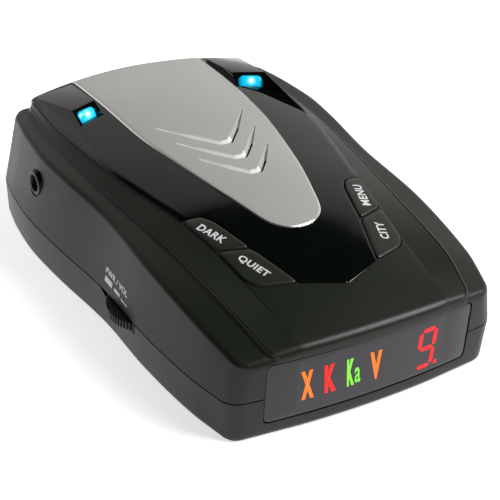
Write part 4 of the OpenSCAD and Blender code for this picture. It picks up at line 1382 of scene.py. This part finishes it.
class DETECTOR_OT_release(Maker):
    """Bracket release button with ribs, and its catch."""
    bl_idname = "detector.release"
    bl_label = "Release button"

    def make(self, context, form):
        material = black_plastic()
        x, y = RELEASE
        arm = SLOT_Z + SLOT_H + 1.1
        pad = pebble("release_pad", box_ring(14, 10, 1.0), lambda u, v: 0.0, lambda u, v: -2.3, 0.35, 4,
                     lambda u, v, w: (x + u, y + v, 0.65 - w))
        tools = [block("flange", (x - 8, y - 6, 1.95), (x + 8, y + 6, 2.9), 0.2),
                 block("post", (x - 5, y + 1.5, 2.5), (x + 5, y + 4.5, arm + 0.5)),
                 block("arm", (x - 5, y - 4, arm), (x + 5, y + 14, arm + 1.2), 0.2),
                 block("catch", (x - 2.5, form.half_l - 24.4, SLOT_Z + SLOT_H - 1.4),
                       (x + 2.5, form.half_l - 21.5, arm + 0.6))]
        carve(pad, *tools, how="UNION")
        finished(smooth(pad), material, "release_latch", ["release_button"])
        rib = block("rib", (-5, -0.35, 0), (5, 0.35, 0.45), 0.12)
        ribs = scattered("release_ribs", [(x, y + 1.6 * i, 0.36) for i in range(-2, 3)], rib, 0.0, material)
        finished(smooth(ribs), material, "release_latch")


class DETECTOR_OT_screws(Maker):
    """Case screws in the base."""
    bl_idname = "detector.screws"
    bl_label = "Case screws"

    def make(self, context, form):
        steel = grained("zinc_steel", (0.55, 0.56, 0.58), 0.3, spread=0.1, depth=0.006, Metallic=1.0)
        head = lathe("screw", [(0, 0.0), (1.3, 0.08), (1.85, 0.35), (2.05, 0.8), (2.05, 1.75), (1.05, 1.75),
                               (1.05, 11), (0, 11)], Matrix.Identity(4), 36)
        carve(head, block("cross", (-1.2, -0.25, -1), (1.2, 0.25, 0.9)), block("cross", (-0.25, -1.2, -1),
                                                                              (0.25, 1.2, 0.9)))
        screws = scattered("base_screws", [(x, y, 4.2) for x, y in CASE_SCREWS], head, 0.7, steel)
        finished(smooth(screws), steel, "case", ["case_screws"])


class DETECTOR_OT_label(Maker):
    """Blank rating label, and the window for laser signals."""
    bl_idname = "detector.label"
    bl_label = "Label and laser window"

    def make(self, context, form):
        film = grained("label_film", (0.5, 0.5, 0.48), 0.38, spread=0.04, depth=0.004, Metallic=0.3)
        label = pebble("base_label", box_ring(32, 8, 0.7), lambda x, y: 0.0, lambda x, y: -0.25, 0.05, 3,
                       lambda x, y, z: (x, y - 40, 0.03 - z))
        finished(smooth(label), film, "case", ["rating_label"])
        ink = grained("label_ink", (0.02, 0.02, 0.02), 0.5, spread=0.1, depth=0.0)
        bars = [block("bar", (-14.5, -40.4 + 1.5 * i, 0.015), (-14.5 + long, -39.9 + 1.5 * i, 0.045))
                for i, long in ((-1, 9), (0, 14), (1, 11))]
        bars += [block("bar", (4 + 1.1 * i, -42.6, 0.015),
                       (4 + 1.1 * i + 0.25 + 0.3 * (i % 3), -37.4, 0.045))
                 for i in range(9)]
        finished(joined("label_marks", bars), ink, "case")
        x, z = LASER
        tail = form.half_l
        window = pebble("laser_window_face", box_ring(7.7, 7.3, 0.9), lambda u, v: -2.0, lambda u, v: -5.0,
                        0.25, 5,
                        lambda u, v, w: (x + u, tail + w, z + v))
        red = grained("laser_red", (0.02, 0.0015, 0.003), 0.08, spread=0.15, depth=0.0, vary=0.03)
        finished(smooth(window, 40), red, "case", ["laser_window"])


class DETECTOR_OT_inner_parts(Maker):
    """Materials for the inner parts, which keep their own shapes."""
    bl_idname = "detector.inner_parts"
    bl_label = "Inner parts"

    def make(self, context, form):
        board = grained("solder_mask", (0.008, 0.07, 0.03), 0.3, spread=0.25, patch=400.0, depth=0.004)
        black = grained("moulded_parts", (0.01, 0.01, 0.011), 0.45, depth=0.01)
        clear = grained("clear_resin", (0.7, 0.7, 0.62), 0.15, depth=0.0)
        brass = grained("gold_pins", (0.8, 0.55, 0.2), 0.28, depth=0.004, Metallic=1.0)
        tin = grained("tin_plate", (0.6, 0.6, 0.58), 0.32, depth=0.006, Metallic=1.0)
        cast = grained("die_cast", (0.5, 0.5, 0.48), 0.5, grain=1800.0, depth=0.03, Metallic=1.0)
        cans = grained("capacitor_sleeve", (0.03, 0.035, 0.08), 0.3, depth=0.004)
        paper = grained("cone_paper", (0.012, 0.012, 0.012), 0.85, grain=1600.0, depth=0.05)
        spring = grained("spring_steel", (0.6, 0.6, 0.62), 0.22, depth=0.0, Metallic=1.0)
        looks = {board: ("main_board", "display_board"), clear: ("periscope_lamps", "icon_lamps"),
                 black: ("icon_housing", "digit_module", "key_switches", "processor_chip", "amplifier_chip",
                         "volume_control", "laser_sensor"),
                 brass: ("board_header", "speaker_contacts"),
                 tin: ("crystal", "mixer_shield", "speaker_frame",
                                                                    "board_screws"),
                 cast: ("horn_antenna",), cans: ("capacitors",), paper: ("speaker_cone",),
                 spring: ("release_spring",)}
        for material, names in looks.items():
            for name in names:
                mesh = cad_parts[name].data
                mesh.materials.clear()
                mesh.materials.append(material)
        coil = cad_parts["release_spring"]
        copy = linked("release_coil", coil.data.copy())
        edit(copy, lambda bm: bmesh.ops.remove_doubles(bm, verts=bm.verts, dist=SAME_PLACE))
        copy.data.shade_smooth()
        finished(copy, spring, "case", ["release_spring"])
        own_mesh(copy)


class DETECTOR_OT_stage(Maker):
    """Floor, light and camera."""
    bl_idname = "detector.stage"
    bl_label = "Stage"

    def make(self, context, form):
        stage = context.scene.detector_stage
        size = 2500
        floor = new_mesh("floor", [(-size, -size, -0.03), (size, -size, -0.03), (size, size, -0.03),
                                   (-size, size, -0.03)], [(0, 1, 2, 3)], turn_out=False)
        pale = grained("pale_floor", stage.floor, 0.9, spread=0.01, patch=4.0, depth=0.0)
        shader = pale.node_tree.nodes["Principled BSDF"]
        shader.inputs["Emission Color"].default_value = (1, 1, 1, 1)
        self.shade_floor(pale.node_tree, shader)
        shader.inputs["Specular IOR Level"].default_value = 0.1
        floor.data.materials.append(pale)
        self.sky(context)
        toward = Vector((0.54, -0.42, 0.68)).normalized()
        light = bpy.data.lights.new("key_softbox", "AREA")
        light.shape, light.size, light.energy = "SQUARE", 0.5, 9.4
        lamp = linked("key_softbox", light)
        lamp.location = toward * 0.9
        lamp.rotation_mode = "QUATERNION"
        lamp.rotation_quaternion = (-toward).to_track_quat("-Z", "Y")
        self.camera(context, stage)
        context.scene.view_settings.view_transform = "Standard"

    @staticmethod
    def shade_floor(tree, shader):
        """Lifts the floor on the shaded side, so that it stays pale all round."""
        where = next(n for n in tree.nodes if n.type == "TEX_COORD").outputs["Object"]
        x, y, _ = add_node(tree, "ShaderNodeSeparateXYZ", {"Vector": where})
        lift = add_node(tree, "ShaderNodeMapRange",
                        {"From Min": 0.06, "From Max": -0.06, "To Min": 0.36, "To Max": 0.8,
                         "Value": node_math(tree, "MULTIPLY_ADD", y, SLANT, x)},
                        interpolation_type="SMOOTHSTEP")
        tree.links.new(lift["Result"], shader.inputs["Emission Strength"])

    @staticmethod
    def sky(context):
        """Bright low wall behind the detector and to its right, dark elsewhere."""
        world = bpy.data.worlds.new("studio")
        context.scene.world = world
        world.use_nodes = True
        tree = world.node_tree
        where = add_node(tree, "ShaderNodeTexCoord")["Generated"]
        x, y, z = add_node(tree, "ShaderNodeSeparateXYZ", {"Vector": where})
        wall = add_node(tree, "ShaderNodeValToRGB",
                        {"Fac": node_math(tree, "MULTIPLY_ADD", y, SLANT, z)})["Color"]
        fades = ((0.3, 0.85), (0.4, 0.8), (0.46, 0.66), (0.49, 0.36), (0.51, 0.05))
        fill_ramp(wall.node.color_ramp,
                  [(0.0, (1, 1, 0.98)), *((at, (v * 0.98, v, v * 0.95)) for at, v in fades),
                                         (0.54, (0, 0, 0))])
        mask = add_node(tree, "ShaderNodeMapRange",
                        {"From Min": -0.1, "From Max": 0.08, "To Min": 0.015, "To Max": 0.8,
                         "Value": node_math(tree, "ADD", x, y)}, interpolation_type="SMOOTHSTEP")["Result"]
        glow = add_node(tree, "ShaderNodeVectorMath", {0: wall, "Scale": mask}, operation="SCALE")[0]
        lift = add_node(tree, "ShaderNodeVectorMath", {0: glow, 1: (0.012, 0.0125, 0.012)},
                        operation="ADD")[0]
        tree.links.new(lift, tree.nodes["Background"].inputs["Color"])

    @staticmethod
    def camera(context, stage):
        """Camera at the chosen angle, rolled about its own axis."""
        a, e, r = stage.azimuth, stage.elevation, stage.roll
        back = Vector((math.sin(a) * math.cos(e), -math.cos(a) * math.cos(e), math.sin(e)))
        right = (-back).cross(Vector((0, 0, 1))).normalized()
        up = right.cross(-back)
        right, up = right * math.cos(r) + up * math.sin(r), up * math.cos(r) - right * math.sin(r)
        data = bpy.data.cameras.new("camera")
        data.lens, data.sensor_width = 98, 36
        camera = linked("camera", data)
        turn = Matrix((right, up, back)).transposed().to_4x4()
        camera.matrix_world = Matrix.Translation(Vector(stage.target) + back * stage.away) @ turn
        context.scene.camera = camera


PIECES = (DETECTOR_OT_upper_case, DETECTOR_OT_lower_case, DETECTOR_OT_gloss_panel, DETECTOR_OT_inlay,
          DETECTOR_OT_periscopes, DETECTOR_OT_keys, DETECTOR_OT_display, DETECTOR_OT_thumbwheel,
          DETECTOR_OT_socket, DETECTOR_OT_release, DETECTOR_OT_screws, DETECTOR_OT_label,
          DETECTOR_OT_inner_parts, DETECTOR_OT_stage)


class DETECTOR_PT_panel(bpy.types.Panel):
    """Lists the piece operators and their settings."""
    bl_idname = "DETECTOR_PT_panel"
    bl_label = "Radar detector"
    bl_space_type = "VIEW_3D"
    bl_region_type = "UI"
    bl_category = "Detector"

    def draw(self, context):
        for piece in PIECES:
            self.layout.operator(piece.bl_idname)
        for group in SETTINGS:
            box = self.layout.box()
            settings = getattr(context.scene, group)
            for key in SETTINGS[group].__annotations__:
                box.prop(settings, key)


SETTINGS = {"detector_case": CaseSettings, "detector_trim": TrimSettings,
            "detector_controls": ControlSettings,
            "detector_display": DisplaySettings, "detector_stage": StageSettings}


def register():
    """Adds the settings, the operators and the panel."""
    for group in SETTINGS.values():
        bpy.utils.register_class(group)
    for piece in (*PIECES, DETECTOR_PT_panel):
        bpy.utils.register_class(piece)
    for name, group in SETTINGS.items():
        setattr(bpy.types.Scene, name, PointerProperty(type=group))


def unregister():
    """Takes the settings, the operators and the panel away again."""
    for name in SETTINGS:
        delattr(bpy.types.Scene, name)
    for piece in (DETECTOR_PT_panel, *reversed(PIECES)):
        bpy.utils.unregister_class(piece)
    for group in reversed(SETTINGS.values()):
        bpy.utils.unregister_class(group)


def main():
    """Builds every piece."""
    register()
    for piece in PIECES:
        family, name = piece.bl_idname.split(".")
        getattr(getattr(bpy.ops, family), name)()


if __name__ == "__main__":
    main()
